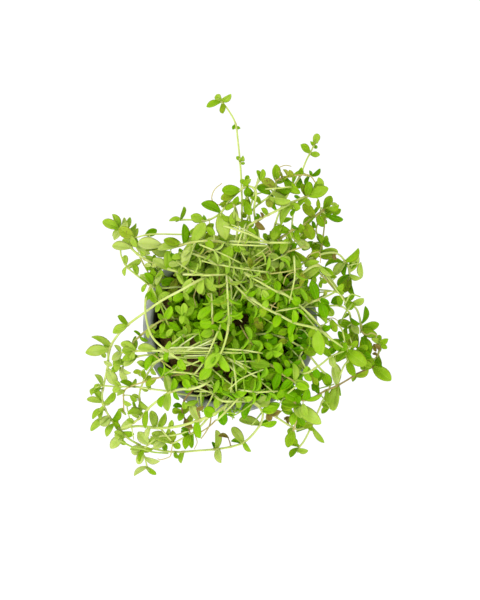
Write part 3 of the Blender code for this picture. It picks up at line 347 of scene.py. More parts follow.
# Roots and withered bits that lie among the shoots, in the same view and units: thickness, tone
# and route of each, and its leaves if it has any, under the name of the piece that they make.
LOOSE_BITS = {
    "loose_roots": read_stems("""
0.35 y: 226 205 60, 217 205 59, 213 202 59, 212 197 60, 215 190 61, 222 184 61;
0.3 y: 222 247 60, 215 250 60, 207 252 59, 202 257 57;
0.35 y: 199 281 59, 196 290 57, 194 297 55, 196 306 53;
0.4 b: 219 283 57, 220 288 56, 219 295 54;
0.4 b: 225 289 58, 222 293 56, 219 296 54;
0.3 y: 270 250 60, 262 256 61, 253 262 60;
0.3 y: 272 252 60, 264 258 60.5, 255 264 59;
0.3 p: 268 247 61, 260 253 61.5, 252 258 60;
0.35 y: 207 294 57, 211 298 57, 214 302 56;
0.35 y: 293 272 61, 286 276 61, 283 284 60;
0.35 y: 307 258 55, 311 254 56, 318 252 56, 320 255 55.5, 320 263 55;
0.35 y: 272 306 61, 276 302 62, 279 298 62;
0.35 y: 268 304 61.5, 273 306.5 62, 278 308 61;
0.5 y: 216 420 46, 210 426 45, 203 431 42, 198 434 40;
0.5 y: 211 416 47, 210 424 45, 206 432 42, 201 439 39;
0.3 y: 195 436 38, 197 443 37, 194 450 34;
0.35 y: 172 446 33, 171 452 32, 170 457 31, 167 459 30, 160 461 30, 157 460 30;
0.3 y: 326 319 51, 333 318 51, 338 321 50;
0.5 y: 361 331 36.5, 367 335 37, 372 333 37, 378 336 36;
0.5 o: 270 274 62, 285 272 62, 294 270 61, 302 268 57;
0.7 o: 318 272 53, 327 281 52, 335 290 48;
0.3 y: 279 168 59, 285 166 59, 291 167 58.5"""),
    "withered_runner": read_stems("""
0.5 y: 276 181 60, 283 178 59, 290 177 59, 296 176 58, 309 176 57, 315 183 56:
287 176 283 170 3 y, 285 176 289 171 3 y, 289 176 293 173 2 b, 282 178 278 172 2 y"""),
}

# Patches where the wool and the pot's inside show between the shoots: place and radius in pixels.
BARE_PATCHES = read_rows("""
190 348 8, 205 350 6, 176 352 6, 314 312 6, 177 288 6, 198 292 5, 240 323 7, 156 318 8, 153 306 5,
164 345 7, 184 364 8, 203 368 6, 315 360 9, 165 304 5, 186 281 5, 288 281 7, 299 331 5, 207 265 4,
227 377 4, 155 315 8, 203 396 9, 192 363 7, 172 361 6, 163 345 5, 242 400 5, 245 320 4, 257 336 3,
272 303 3, 170 275 6""")

# Further leaves, each on the shoot that passes nearest to its base: base, tip, width and tone.
FURTHER_LEAVES = read_rows("""
169 267 168 251 10 m, 182 263 169 265 7 p, 194 246 184 266 9 p, 180 243 164 241 8 m,
168 269 153 259 9 p, 172 280 161 284 9 d, 176 279 172 293 9 y, 192 279 184 293 7 p, 200 275 198 258 8 m,
191 275 193 264 6 p, 220 262 208 252 9 m, 221 262 231 247 12 m, 221 270 206 275 7 p,
221 274 234 272 8 m, 200 282 204 295 8 p, 203 284 213 291 7 p, 214 292 202 296 5 p, 217 243 206 240 6 p,
218 244 211 248 5 o, 161 270 157 285 6 p, 155 270 151 283 6 o, 162 288 163 300 5 m, 152 287 157 300 7 p,
177 273 184 285 4 p, 240 256 231 269 10 m, 251 269 250 248 7 m, 241 241 229 241 9 p,
269 248 268 235 6 p, 279 259 267 269 7 p, 294 253 301 268 6 m, 270 275 274 284 6 p, 279 282 275 296 8 m,
282 283 289 289 6 m, 249 287 243 299 8 p, 266 290 263 299 5 p, 279 293 268 297 6 m, 232 274 244 279 6 m,
261 274 262 288 6 m, 270 284 262 282 5 d, 271 250 280 254 6 m, 255 266 266 269 5 d, 279 262 287 270 6 d,
249 275 248 290 5 m, 318 245 328 237 6 m, 320 243 317 234 5 m, 318 253 306 261 8 o, 316 260 305 267 7 m,
319 264 331 276 5 p, 317 272 304 279 7 p, 299 267 300 282 6 m, 338 207 330 204 4 p, 288 239 281 254 8 m,
281 262 290 261 6 p, 307 287 294 294 8 m, 271 190 257 187 7 m, 247 188 252 198 7 m, 285 197 272 195 4 p,
245 202 252 215 7 m, 240 204 227 210 4 m, 236 208 241 221 3 p, 222 217 235 219 6 m, 243 221 254 226 6 p,
236 215 235 228 4 m, 210 224 212 238 7 o, 239 240 226 241 8 p, 217 242 206 244 5 p,
232 246 221 257 10 p, 283 226 272 240 9 m, 268 241 263 234 4 m, 269 241 270 232 4 m,
254 229 258 238 4 m, 357 326 350 333 8 m, 356 336 352 350 7 m, 366 336 369 356 9 m, 326 345 338 344 8 m,
345 358 334 360 7 m, 371 367 361 368 6 m, 328 380 317 373 8 m, 296 350 307 345 7 m, 318 382 313 391 7 d,
260 181 257 171 4 m, 260 181 263 170 5 m, 285 180 300 194 9 m, 283 178 290 185 6 d, 298 172 293 184 3 m,
311 176 320 169 4 d, 311 177 309 171 3 d, 309 177 305 186 4 d, 306 197 301 184 5 o, 300 199 294 196 3 d,
305 199 299 207 6 m, 318 200 319 209 4 o, 319 207 315 214 4 d, 328 203 324 215 7 m, 333 215 341 209 6 m,
322 218 327 224 5 m, 312 222 316 228 4 d, 281 226 272 240 8 m, 291 219 282 222 5 m, 292 226 297 229 3 d,
294 210 291 217 4 d, 292 230 287 240 7 m, 296 231 300 241 6 m, 290 232 296 240 6 p, 295 236 308 237 5 o,
290 246 297 244 5 d, 269 243 270 231 4 m, 268 242 263 235 4 m, 254 226 258 237 4 m, 262 219 254 220 6 d,
262 218 260 213 3 b, 259 219 256 214 3 d, 250 192 255 200 6 m, 264 262 272 252 8 m, 262 274 270 281 7 m,
240 213 246 218 5 o, 119 232 114 240 6 p, 133 243 122 240 9 m, 131 236 137 247 6 m, 131 265 141 259 6 m,
126 267 124 276 3 m, 140 251 146 256 5 m, 146 256 154 261 6 m, 152 269 157 276 5 d, 151 283 145 273 6 d,
150 283 157 276 6 m, 149 285 139 277 4 m, 180 247 158 250 7 p, 171 254 178 261 6 d, 187 270 196 263 7 m,
158 283 161 298 6 m, 160 292 164 300 5 m, 177 275 184 284 3 p, 188 277 181 284 5 d, 214 262 206 268 5 d,
205 232 214 224 7 m, 214 235 207 228 7 m, 222 207 229 200 6 m, 204 216 207 221 3 d, 226 203 219 206 4 o,
320 278 327 283 5 m, 321 280 321 288 4 m, 336 277 326 277 5 m, 320 302 326 318 11 d,
331 320 336 332 7 o, 341 342 339 331 5 d, 347 327 346 343 6 m, 352 333 349 346 7 o, 357 333 352 349 8 m,
358 335 358 349 6 o, 338 347 328 354 7 d, 356 352 372 358 10 d, 363 361 374 359 5 o,
354 374 369 370 5 o, 380 355 382 366 4 o, 375 345 377 352 4 b, 378 352 380 346 3 d, 361 263 362 278 5 p,
300 286 308 279 7 m, 291 290 283 296 8 m, 288 285 282 277 8 m, 283 301 290 306 8 m, 302 338 298 329 8 d,
302 338 309 331 7 d, 302 338 308 346 8 m, 326 372 329 384 10 m, 282 332 271 328 9 m,
294 399 284 392 9 d, 297 400 299 388 9 d, 285 384 295 390 9 d, 283 380 292 374 8 d, 310 397 301 391 6 d,
336 350 344 343 7 m, 284 400 274 386 11 m, 276 398 290 385 9 m, 283 410 293 413 7 m,
303 404 306 416 8 p, 290 418 284 420 2.5 b, 305 400 322 394 3 m, 330 407 322 414 6 m,
294 431 288 447 11 m, 296 395 289 389 7 d, 296 395 300 402 7 d, 280 392 272 398 9 m,
284 388 277 396 9 d, 262 383 270 377 8 m, 284 376 291 368 8 m, 286 364 296 356 9 d, 286 346 281 338 7 m,
286 346 292 352 8 d, 268 343 277 338 9 d, 219 396 217 408 7 p, 230 408 235 418 3 o, 197 409 204 406 5 b,
205 392 203 405 4 m, 228 439 218 437 4 b, 94 389 91 396 4 m, 118 431 112 423 6 d, 124 413 117 410 4 m,
130 396 136 402 5 m, 133 402 137 411 2 d, 139 403 141 412 5 m, 140 421 131 410 7 m, 118 430 116 441 7 m,
122 440 113 433 6 m, 118 441 125 446 5 m, 137 447 152 451 5 o, 140 455 130 453 7 p, 133 352 122 350 9 m,
135 356 124 366 7 p, 131 349 137 340 4 m, 118 354 117 371 7 m, 155 353 146 370 6 d, 136 244 150 254 7 p,
150 246 172 252 6 p, 181 279 171 293 10 b, 345 345 330 341 8 m, 350 338 340 334 7 m,
300 404 281 403 10 m, 299 400 284 392 12 d, 284 392 272 390 9 d, 279 404 265 410 10 m,
108 352 98 340 5 m, 312 242 302 250 8 m, 321 243 311 248 7 m, 318 262 304 265 8 m, 319 272 305 277 9 m,
322 188 318 178 7 m, 308 196 309 182 6 d, 357 352 368 346 8 m, 346 350 337 362 8 m, 104 362 112 366 5 p,
101 352 105 358 5 m, 112 372 118 366 5 m, 229 268 240 258 9 p, 229 268 233 256 6 p, 228 268 217 261 8 p,
228 268 214 268 8 p, 229 269 239 277 8 m, 228 269 221 279 7 p, 229 268 242 268 6 p, 203 279 200 294 8 p,
205 279 216 291 8 p, 203 262 198 273 7 p, 213 273 205 280 6 p, 216 276 228 280 5 p, 236 262 246 256 5 m,
210 262 200 256 7 p, 222 262 216 250 9 p, 271 365 250 363 11 p, 293 365.5 297 379 6 m,
296 384 308 388 8 m, 276 374 275 390 8 m, 270 372 262 378 4 o, 283 364 272 371 5 p, 290 381 281 389 6 d,
255 380 246 386 6 m, 258 378 262 388 5 m, 198 308 198 296 10 d, 196 303 189 302 7 d,
206 300 197 306 8 d, 229 297 222 289 8 m, 225 300 232 291 7 m, 240 284 247 276 7 m, 246 284 253 292 7 m,
200 314 192 307 8 m, 226 331 221 322 6 m, 236 338 230 329 7 m, 171 375 164 367 8 m, 183 372 173 366 7 m,
180 374 190 379 8 m, 203 378 193 388 10 m, 213 372 207 380 9 m, 218 374 224 384 9 m,
214 384 222 392 8 m, 244 351 249 360 6 m, 236 352 238 362 4 p, 183 358 188 344 7 m, 180 317 163 319 5 o,
253 341 249 335 5 p, 253 341 257 335 5 p, 253 341 247 342 4 p, 253 341 259 342 4 m, 268 298 262 290 6 p,
268 298 273 290 6 m, 248 298 241 291 6 p, 248 298 254 291 6 m""")

# Finer stems among the shoots, whose ends dip out of sight: under the name of the piece that they
# make, each one's thickness, tone, height and route in plan.
FINE_STEMS = {
    "fine_stems_north": read_stems("""
0.9 p 62.5: 229 228, 243 232, 256 238, 264 241;
0.5 p 63: 236 227, 246 231, 257 237;
0.8 p 62.8: 238 231, 250 235, 262 240;
1.2 p 61.8: 236 242, 250 242.3, 268 243;
0.8 p 61: 236 245, 250 245.7, 262 246;
1 p 61: 270 243, 284 243;
1 p 61.5: 257 184, 254 195, 251 205;
0.6 p 60.5: 255 195, 262 193, 269 190;
0.6 p 60: 270 189.5, 278 189, 286 188;
0.6 p 59.5: 271 190, 276 197;
0.7 p 57: 293 214, 292 222, 291 230;
0.8 o 57.5: 281 237, 293 230.5;
0.8 o 56: 288 252, 300 248;
0.8 o 51: 320 213, 318 222, 316 230, 318 237;
0.7 p 62: 244 229, 241 236, 239 242;
0.7 p 60.5: 237 252, 233 262;
0.6 p 61: 238 246, 242 254, 247 263;
1.2 p 57.5: 193 254, 207 259, 218 266;
0.6 p 57.5: 196 252, 208 257;
0.7 p 57: 194 247, 190 255, 185 263;
0.8 p 55.5: 183 266, 189 270;
1 p 58.5: 189 274.7, 206 274.9;
0.9 p 59: 195 272, 204 275;
0.9 p 59: 207 275.5, 223 275;
0.7 p 59: 204 261.5, 217 265;
0.7 o 50: 141 259, 144 265, 148 272;
0.5 p 60: 254 269, 270 262, 281 257"""),
    "fine_stems_centre": read_stems("""
0.9 p 62: 227 281, 228 300, 229 320;
0.6 p 61.5: 231 284, 231.5 302, 231 318;
0.7 p 60.5: 212 299, 212.5 309, 212 319;
0.7 p 61.5: 225 266, 245 269.5, 265 272;
0.6 p 61.5: 205 247, 222 254, 238 262;
0.8 p 61: 242 272, 262 280, 288 296;
0.9 p 59.5: 226 266, 233 272, 238 276;
0.9 p 60.5: 231 280, 238 288, 244 294;
0.9 p 61: 237 280.5, 242 286, 247 292;
0.7 p 61: 240 268, 257 268;
0.6 p 60: 253 271, 266 273;
0.5 p 60: 259 272, 262 281;
0.6 p 60.5: 248 271, 243 280;
0.9 p 62: 250 277, 262 283.5, 275 291;
0.9 p 61.5: 280 293, 290 297.5;
1.1 p 61: 252 298, 256 301, 260 304.5;
0.8 p 60: 249 300, 258 307;
0.8 o 58.5: 279 291.5, 287 290, 297 288;
0.7 p 62: 294 262, 294.5 275, 293 285, 290 298;
0.6 p 60.5: 236 293, 233 299, 230 305;
0.6 p 60: 229 310, 238 318;
0.5 p 61: 277 311, 285 309;
0.5 p 60.5: 285 310, 295 308;
0.5 m 56: 262 317, 272 323;
0.5 y 55: 243 330, 247 337, 250 341;
0.6 m 57: 240 349, 249 342;
0.6 p 55: 162 303, 166 309, 171 315;
0.8 m 56.5: 186 336, 193 334, 203 334;
0.9 p 60: 224 352, 236 352.6, 248 352;
0.7 p 61: 231 349, 245 350, 257 352;
0.9 p 58.5: 223 360, 228 364, 233 369;
0.9 p 58: 230 359, 240 365, 252 374, 258 377;
0.7 p 60: 235 361, 249 361;
0.6 p 59.5: 239 362, 246 365.5;
0.9 p 58: 234 368, 235.5 376, 236 385;
0.5 p 59.5: 258 371, 250 374, 240 379, 233 385;
0.6 p 57: 232 382, 231 390"""),
    "fine_stems_west": read_stems("""
0.55 w 59.5: 188 350, 201 345, 213 339;
0.55 w 59.2: 186 349, 199 346.5, 212 343.5;
0.55 w 59.6: 176 350, 184 343, 193 337;
0.55 w 59: 190 355.5, 207 355, 222 354;
0.55 w 59.8: 172 347.5, 190 347, 208 348;
0.7 p 58.5: 184 366, 196 362, 208 356;
0.9 p 57: 196 372, 201 366, 207 357;
0.8 p 56.5: 176 372, 190 373, 203 378;
0.9 p 56: 221 416, 231 406, 240 396;
0.9 p 56.5: 165 349, 182 349, 200 349, 212 349;
0.8 p 57: 168 352.3, 185 352.7, 200 353, 213 353;
0.8 p 56: 165 356, 180 357, 195 357.5, 208 356;
0.6 p 57.5: 158 350.5, 175 350.6, 190 351, 210 351;
0.9 p 58: 189 348, 200 342, 209 339;
1 p 58.5: 190 349, 202 345.5, 212 341;
1 p 57: 180 338, 172 344, 165 349;
0.8 p 58.5: 214 343, 219 351;
0.7 o 52.5: 157 357, 165 363, 172 368;
0.7 m 54: 170 371, 177 367, 180 361;
0.6 p 53: 150 366, 155 360, 157 353"""),
    "fine_stems_south": read_stems("""
1 p 51: 222 401, 240 400.8, 252 401.5, 258 404.5;
1.2 p 54.5: 230 391, 240 396, 250 399, 256 403;
0.6 p 55: 252 398, 256 394, 260 391.5;
0.5 p 56: 263 383, 270 389;
0.8 p 55.5: 244 390, 258 391.5, 272 391;
0.9 p 53.5: 229 400, 225 408, 222 415;
0.5 m 53.5: 239 398, 236 407, 234 414;
0.5 m 52.5: 251 404, 243 410, 236 414;
0.7 p 52.5: 200 380, 207 384, 214 388;
0.5 p 52: 203 377.5, 213 379.5;
0.5 p 52.5: 201 383, 212 385;
0.7 p 52: 200 391, 214 391.5;
0.6 p 52.5: 196 387, 210 392;
0.6 p 55: 215 371, 222 377, 230 383;
0.4 y 55.5: 218 364, 222 368;
0.5 p 50.5: 201 393, 197.5 397, 198 400;
0.9 p 51.5: 214 391, 211 399, 207 406;
1.1 m 50.5: 201 390, 201 398, 202 406;
0.6 m 47.5: 255 421, 259 416, 262 412;
0.8 m 33: 124 444, 132 448, 142 450, 152 453, 162 454;
0.5 p 34: 127 411, 129 420;
0.5 p 32.5: 131 428, 132 435;
0.8 p 33.5: 161 430, 167 437;
0.5 m 45: 318 392, 324 399, 328 405;
0.5 m 45: 329 386, 318 389"""),
    "fine_stems_east": read_stems("""
0.7 p 51: 329 320, 340 327, 343 334, 345 344;
0.6 p 52: 321 270, 332 284, 342 298;
0.9 o 51.5: 327 278, 332 284, 338 291;
0.6 p 51.5: 318 292.5, 334 291;
0.6 p 51: 322 290, 329 290.5, 335 292;
0.8 m 44: 349 308, 346 312, 343 318;
0.6 m 49: 347 300, 349 296, 352 294, 355 295;
0.8 p 46: 348 361, 344 366, 341 373;
0.8 p 52: 323 332, 331 339, 338 344;
0.7 m 51: 313 310, 319 314;
0.6 p 54.5: 303 313, 309 320, 315 327;
0.6 p 54.8: 306 312, 313 320;
0.8 p 55: 291 390, 297 385;
0.6 p 52: 302 352, 299 358, 301 364, 304 371;
0.6 p 52: 302 361, 306 369;
0.5 p 51.5: 306 333, 311 339;
0.4 p 52: 292 350, 297 355;
0.9 p 53.5: 302 304.5, 312 300"""),
}

# The kinds of surface, by the place of their paint on a piece
LEAF, STEM = 0, 1

# The stems, in millimetres; slimming gives their true thickness from the traced one, and the
# ends stand past a stem's line by these shares of its radius
FINE_SPACING = 0.7
STEM_SIDES = 8
STALK_SIDES = 6
STEM_TAPER = 0.2
STEM_ENDS = (0.5, 0.8)
SLIMMING = (0.22, 0.54)
JOINT_SWELL = 0.38
JOINT_REACH = 0.55

# The blades: their cross-sections, and the ranges of their forms as shares of length or width
BLADE_STATIONS = 11
STATION_START = 0.35
STATION_TRIM = 0.3
TOP_ACROSS = (1.0, 0.66, 0.26, 0.0, -0.26, -0.66, -1.0)
UNDER_ACROSS = (-0.55, 0.0, 0.55)
FULLNESS = (1.05, 1.4)
POINTEDNESS = (0.42, 0.7)
CUP = (-0.05, 0.2)
FOLD = (0.02, 0.42)
ARCH = (-0.02, 0.16)
TWIST = 0.45
TWIST_CENTRE = 0.3
BLADE_THICKNESS = 0.2
TIP_THINNING = 0.5
MIDRIB_DEPTH = 0.06
MIDRIB_WIDTH = 0.2
STALK_WIDTH = 0.11
WITHERED_FROM = 0.5
WITHERED_CURL = 2.2

# How the tone of a blade and the vividness of its green change over the plant. Most of these
# changes are painted light and shade: a paler tone to the west, partly paler leaves and partly
# painted light from the left; a paler tone in the north band, painted light where it lies in
# shadow; a deeper tone to the east and low down, painted shade; and a vivid green on deep
# leaves, painted green light that passes through the leaves above, duller at the top. A zone
# is the stretch, in millimetres, over which a change sets in or fades; PALE_TONES is one in tone.
TONE_SPREAD = 0.12
PALER_WEST = 0.18
WEST_ZONE = (10.0, 26.0)
PALER_NORTH = 0.5
MIDDLE_ZONE = (-15.0, -9.0)
NORTH_ZONE = (9.0, 15.0)
DEEPER_EAST = 0.24
EAST_ZONE = (6.0, 16.0)
SOUTH_ZONE = (-8.0, -2.0)
DEEPER_LOW = 0.08
LOW_ZONE = (52.0, 58.0)
CROWDED_RADIUS = 23.0
VIVID_CENTRE = (2.5, -3.5)
VIVID_ZONE = (20.0, 34.0)
VIVID_DEPTH = (54.0, 63.0)
DULL_TOP = 0.3
TOP_ZONE = (58.5, 61.5)
DULL_PALE = 0.8
PALE_TONES = (0.55, 0.9)

# Where a leaf joins its stem, the tilts tried until it is clear, and its outline for that
FAR_FROM_STEM = 0.75
STALK_THICKNESS = 0.45
STALK_SLIMMING = (2, 2.4, 3)
STALK_RISE = 0.15
STALK_OVERLAP = 0.08
LOWEST_TIP = 1.0
TRIED_TILTS = (0.0, 0.7, -0.7, 1.4, -1.4, 2.2, -2.2, 3.2)
OUTLINE_PLACES = ((0.12, 0.3), (0.5, 1.0), (0.85, 0.75), (1.0, 0.0), (0.85, -0.75), (0.5, -1.0),
                  (0.12, -0.3))
OUTLINE_MARGIN = 0.2

# The bud at a shoot's tip: the spread and size are those of its inner and outer leaves
TIP_REACH = 1.6
BUD_LEAF = 1.5
BUD_TURN = 0.3
BUD_SPREAD = (0.5, 0.75)
BUD_SIZES = (0.7, 1.0)
BUD_LEAF_WIDTH = 0.26
BUD_SINK = 0.1
BUD_TONE = 0.95

# The fine stems and their small pairs of leaves
TRIED_LIFTS = (0.0, 0.6, -0.6, 1.2, -1.2, 1.8, 2.4, -1.8)
FINE_SLIMMING = 0.86
PAIR_START = 3
PAIR_STEP = 7
PAIR_ZONE = 26.0
PAIR_LEAF = (2.6, 4.6)
PAIR_TONE = (0.3, 0.8)
PAIR_TILT = 0.5
END_DIP = 2.6
END_RUN = 1.6

# Where loose roots start
ROOT_REACH = 3.0
ROOT_ZONE = 48.0
PLAN_FIRST = 4.0

# The low shoots that crowd the wool: spread evenly over it, and along an arc of the rim
LOW_PIECES = 4
LOW_SHOOTS = 150
LOW_SPREAD = 20.5
LOW_SHIFT = 0.8
LOW_HEIGHTS = (45.5, 54.0)
LOW_LEAN = (0.5, 3.0)
GOLDEN_ANGLE = math.pi * (3 - math.sqrt(5))
RIM_SHOOTS = 44
RIM_SHOOT_ARC = (-0.75, 2.5)
RIM_SHOOT_ROOTS = (19.5, 21.5)
RIM_SHOOT_HEIGHTS = (49.5, 54.0)
RIM_SHOOT_LEAN = (2.5, 7.0)
NORTH_RISE = 4.0
RISING_ZONE = (0.0, 17.0)
ROOT_SINK = 0.4
STRAY_LEAN = 1.5
STRAY_BOW = 0.6
LOW_THICKNESS = (0.6, 0.9)

# Their leaves: pairs down each shoot, with the leans tried until a leaf is clear
LOW_PAIR_SPACING = 2.1
LEAFY_SHARE = 0.8
LOW_LEAF = (2.5, 5.8)
LOW_LEAF_WIDTH = (0.2, 0.31)
TOP_LEAF_SIZE = 0.72
PAIR_TURN = 0.25
# Painted shade: the low leaves' tone deepens the lower they sit
LOW_TONE = 0.26
LOW_TONE_RISE = 0.5
LOW_TONE_SPREAD = (-0.08, 0.15)
LEAF_LEAN = (0.1, 0.9)
TRIED_LEANS = (0.5, 0.1, 0.9, -0.2)
RIM_CLEARANCE = 1
WOOL_CLEARANCE = 0.6
OLD_SHARE = 0.08
OLD_AGES = (0.3, 0.7)
OVER_STEMS = 0.3
COVER_GAP = 0.5
COVER_SHARE = 0.8
PATCH_MARGIN = 0.4

# The slots of the pot, in millimetres, and how finely its round forms are drawn
SLOT_COUNT = 10
SLOT_WIDTH = 2.4
SLOT_BOTTOM = 7.0
SLOT_TOP = 27.0
BASE_SLOT_COUNT = 5
BASE_SLOT_INNER = 5.0
BASE_SLOT_OUTER = 13.0
CUTTER_DEPTH = 8.0
CUTTER_STEPS = 16
POT_STEPS = 120
CORNER_STEPS = 5
SHARP_EDGE = math.radians(40)
# How far below the lip's top the painted shade of the pot's inside stops
UNSHADED_LIP = 1.0

# The growing wool, with its loose fibres and crumbs, in millimetres
WOOL_STEPS = 96
TOP_RINGS = 26
SIDE_RINGS = 30
WOOL_SINK = 0.9
LUMP_HEIGHT = 0.8
EDGE_FROM = 0.72
EDGE_SLOPE = 2.2
EDGE_MARGIN = 0.1
WOOL_ROUGHNESS = 0.12
SIDE_ROUGHNESS = 0.012
WOOL_FIBRES = 420
FIBRE_POINTS = 5
FIBRE_STEP = 0.9
FIBRE_BEND = 0.9
FIBRE_RISE = 0.7
FIBRE_RADII = (0.06, 0.13)
FIBRE_MARGIN = 0.6
FIBRE_RETURN = 0.7
WOOL_CRUMBS = 160
CRUMB_SIZES = (0.3, 0.95)
CRUMB_SINK = 0.2
LOOSE_MARGIN = 1.5

# A crumb's form, as shares of its size
CRUMB_LEAN = 0.2
CRUMB_HEIGHTS = (0.35, 0.8)
CRUMB_RADII = (0.6, 0.55, 0.25)

# How many sides the fibres and crumbs have
FIBRE_SIDES = 4
CRUMB_SIDES = 5

# The floor, in metres; it lies a little below the pot
FLOOR_HALF = 6.0
FLOOR_DROP = 0.0002

# Camera: a long lens straight above, framing the whole plant; its range is in metres
PHOTO_SIZE_PX = (480, 600)
CAMERA_HEIGHT = 2200.0
SENSOR_HEIGHT = 24.0
CAMERA_RANGE = 100.0


def srgb(red, green, blue):
    """A colour in linear values from its 0 to 255 screen values."""
    linear = []
    for level in (red, green, blue):
        share = level / 255
        linear.append(share / 12.92 if share <= 0.04045 else ((share + 0.055) / 1.055) ** 2.4)
    return (*linear, 1.0)


class Field:
    """A value that varies over a surface; arithmetic on it adds Math nodes."""

    def __init__(self, paint, socket):
        self.paint = paint
        self.socket = socket

    def _math(self, operation, *values, clamp=False):
        settings = {"operation": operation, "use_clamp": clamp}
        return self.paint.node("ShaderNodeMath", settings, dict(enumerate(values)))

    def __add__(self, other):
        return self._math("ADD", self, other)

    __radd__ = __add__

    def __sub__(self, other):
        return self._math("SUBTRACT", self, other)

    def __rsub__(self, other):
        return self._math("SUBTRACT", other, self)

    def __mul__(self, other):
        return self._math("MULTIPLY", self, other)

    __rmul__ = __mul__

    def __abs__(self):
        return self._math("ABSOLUTE", self)

    def sine(self):
        return self._math("SINE", self)

    def clamped(self):
        return self._math("ADD", self, 0.0, clamp=True)

    def rising(self, low, high):
        """0 below low and 1 above high, with a smooth step between."""
        values = {"Value": self, "From Min": low, "From Max": high}
        return self.paint.node("ShaderNodeMapRange", {"interpolation_type": "SMOOTHSTEP"}, values)

    def falling(self, low, high):
        return 1 - self.rising(low, high)


class Paint:
    """A procedural material, and the nodes that feed its shader."""

    def __init__(self, name):
        self.material = bpy.data.materials.new(name)
        self.material.use_nodes = True
        self.tree = self.material.node_tree
        self.shader = self.tree.nodes["Principled BSDF"]

    def node(self, kind, settings=None, values=None, out=0):
        """A new node: its settings first, then the values or links of its sockets."""
        new = self.tree.nodes.new(kind)
        for key, setting in (settings or {}).items():
            if key == "stops":
                self.set_stops(new.color_ramp, setting)
            else:
                setattr(new, key, setting)
        for key, value in (values or {}).items():
            self.feed(new.inputs[key], value)
        return Field(self, new.outputs[out])

    def feed(self, socket, value):
        if isinstance(value, Field):
            self.tree.links.new(value.socket, socket)
        else:
            socket.default_value = value

    def set_stops(self, ramp, stops):
        while len(ramp.elements) < len(stops):
            ramp.elements.new(0.5)
        for element, (place, colour) in zip(ramp.elements, stops):
            element.position = place
            element.color = colour

    def mark(self, name):
        """A number stored at each point of the mesh."""
        return self.node("ShaderNodeAttribute", {"attribute_name": name}, out="Fac")

    def place(self):
        return self.node("ShaderNodeTexCoord", out="Object")

    def noise(self, scale, detail=3.0, roughness=0.55):
        """Cloudy noise, with the given number of clouds to a metre."""
        values = {"Vector": self.place(), "Scale": scale, "Detail": detail, "Roughness": roughness}
        return self.node("ShaderNodeTexNoise", None, values)

    def ramp(self, share, stops):
        return self.node("ShaderNodeValToRGB", {"stops": stops}, {"Fac": share})

    def mix(self, share, first, second):
        """The first colour where share is 0 and the second where it is 1."""
        values = {0: share, 6: first, 7: second}
        return self.node("ShaderNodeMix", {"data_type": "RGBA"}, values, out=2)

    def bump(self, height, distance, strength=1.0):
        values = {"Height": height, "Distance": distance, "Strength": strength}
        self.feed(self.shader.inputs["Normal"], self.node("ShaderNodeBump", None, values))

    def set(self, **values):
        """Sets or links the shader's sockets; an underscore stands for a space in their names."""
        for key, value in values.items():
            self.feed(self.shader.inputs[key.replace("_", " ")], value)


def leaf_paint():
    """Soft green blades: pale to deep by tone, olive, yellow and brown by age, with fine veins."""
    paint = Paint("pearlweed_leaf")
    tone, age = paint.mark("tone"), paint.mark("age")
    along, across, under = paint.mark("along"), paint.mark("across"), paint.mark("under")
    clouds = paint.noise(260.0)
    grain = paint.noise(2400.0, 2.0)
    shade = (tone + (clouds - 0.5) * 0.5 + (grain - 0.5) * 0.16).clamped()
    pale = paint.ramp(shade, [(0.0, srgb(62, 116, 0)), (0.3, srgb(98, 148, 0)), (0.6, srgb(140, 178, 28)),
                              (0.85, srgb(171, 196, 78)), (1.0, srgb(188, 205, 114))])
    # The vivid ramp, read through the inner mark, is partly the fresh green of the inner leaves and partly
    # painted light: the green light that passes through the leaves above
    vivid = paint.ramp(shade, [(0.0, srgb(78, 142, 0)), (0.3, srgb(108, 172, 0)), (0.6, srgb(141, 199, 10)),
                               (1.0, srgb(173, 207, 68))])
    green = paint.mix(paint.mark("inner"), pale, vivid)
    width = abs(across)
    midrib = width.falling(0.03, 0.16) * along.falling(0.75, 0.98)
    side_veins = ((along * 30 - width * 9).sine() * 0.5 + 0.5).rising(0.86, 1.0) * width.falling(0.7, 0.95)
    veins = (midrib + side_veins * 0.2).clamped()
    green = paint.mix(veins * 0.2, green, srgb(172, 208, 62))
    # Painted shade: each blade darkens towards its rim
    green = paint.mix(width.rising(0.8, 1.0) * 0.22, green, srgb(78, 124, 6))
    green = paint.mix(under * 0.4, green, srgb(148, 190, 56))
    olive = paint.mix(clouds, srgb(132, 150, 22), srgb(172, 172, 52))
    withered = paint.mix(clouds, srgb(100, 84, 34), srgb(158, 138, 70))
    colour = paint.mix(age.rising(0.05, 0.85) * 0.9, green, olive)
    spots = (paint.noise(1500.0, 2.0) + age * 0.3).rising(0.72, 0.8)
    colour = paint.mix((spots * 0.75 + age.rising(0.66, 0.98)).clamped(), colour, withered)
    paint.set(Base_Color=colour, Roughness=0.4 + grain * 0.16 + under * 0.14, Specular_IOR_Level=0.03,
              Subsurface_Weight=0.22, Subsurface_Radius=(0.7, 1.0, 0.2), Subsurface_Scale=0.0007)
    paint.bump(grain * 0.25 + clouds * 0.4 - veins * 0.9, 0.00012, 0.7)
    return paint.material


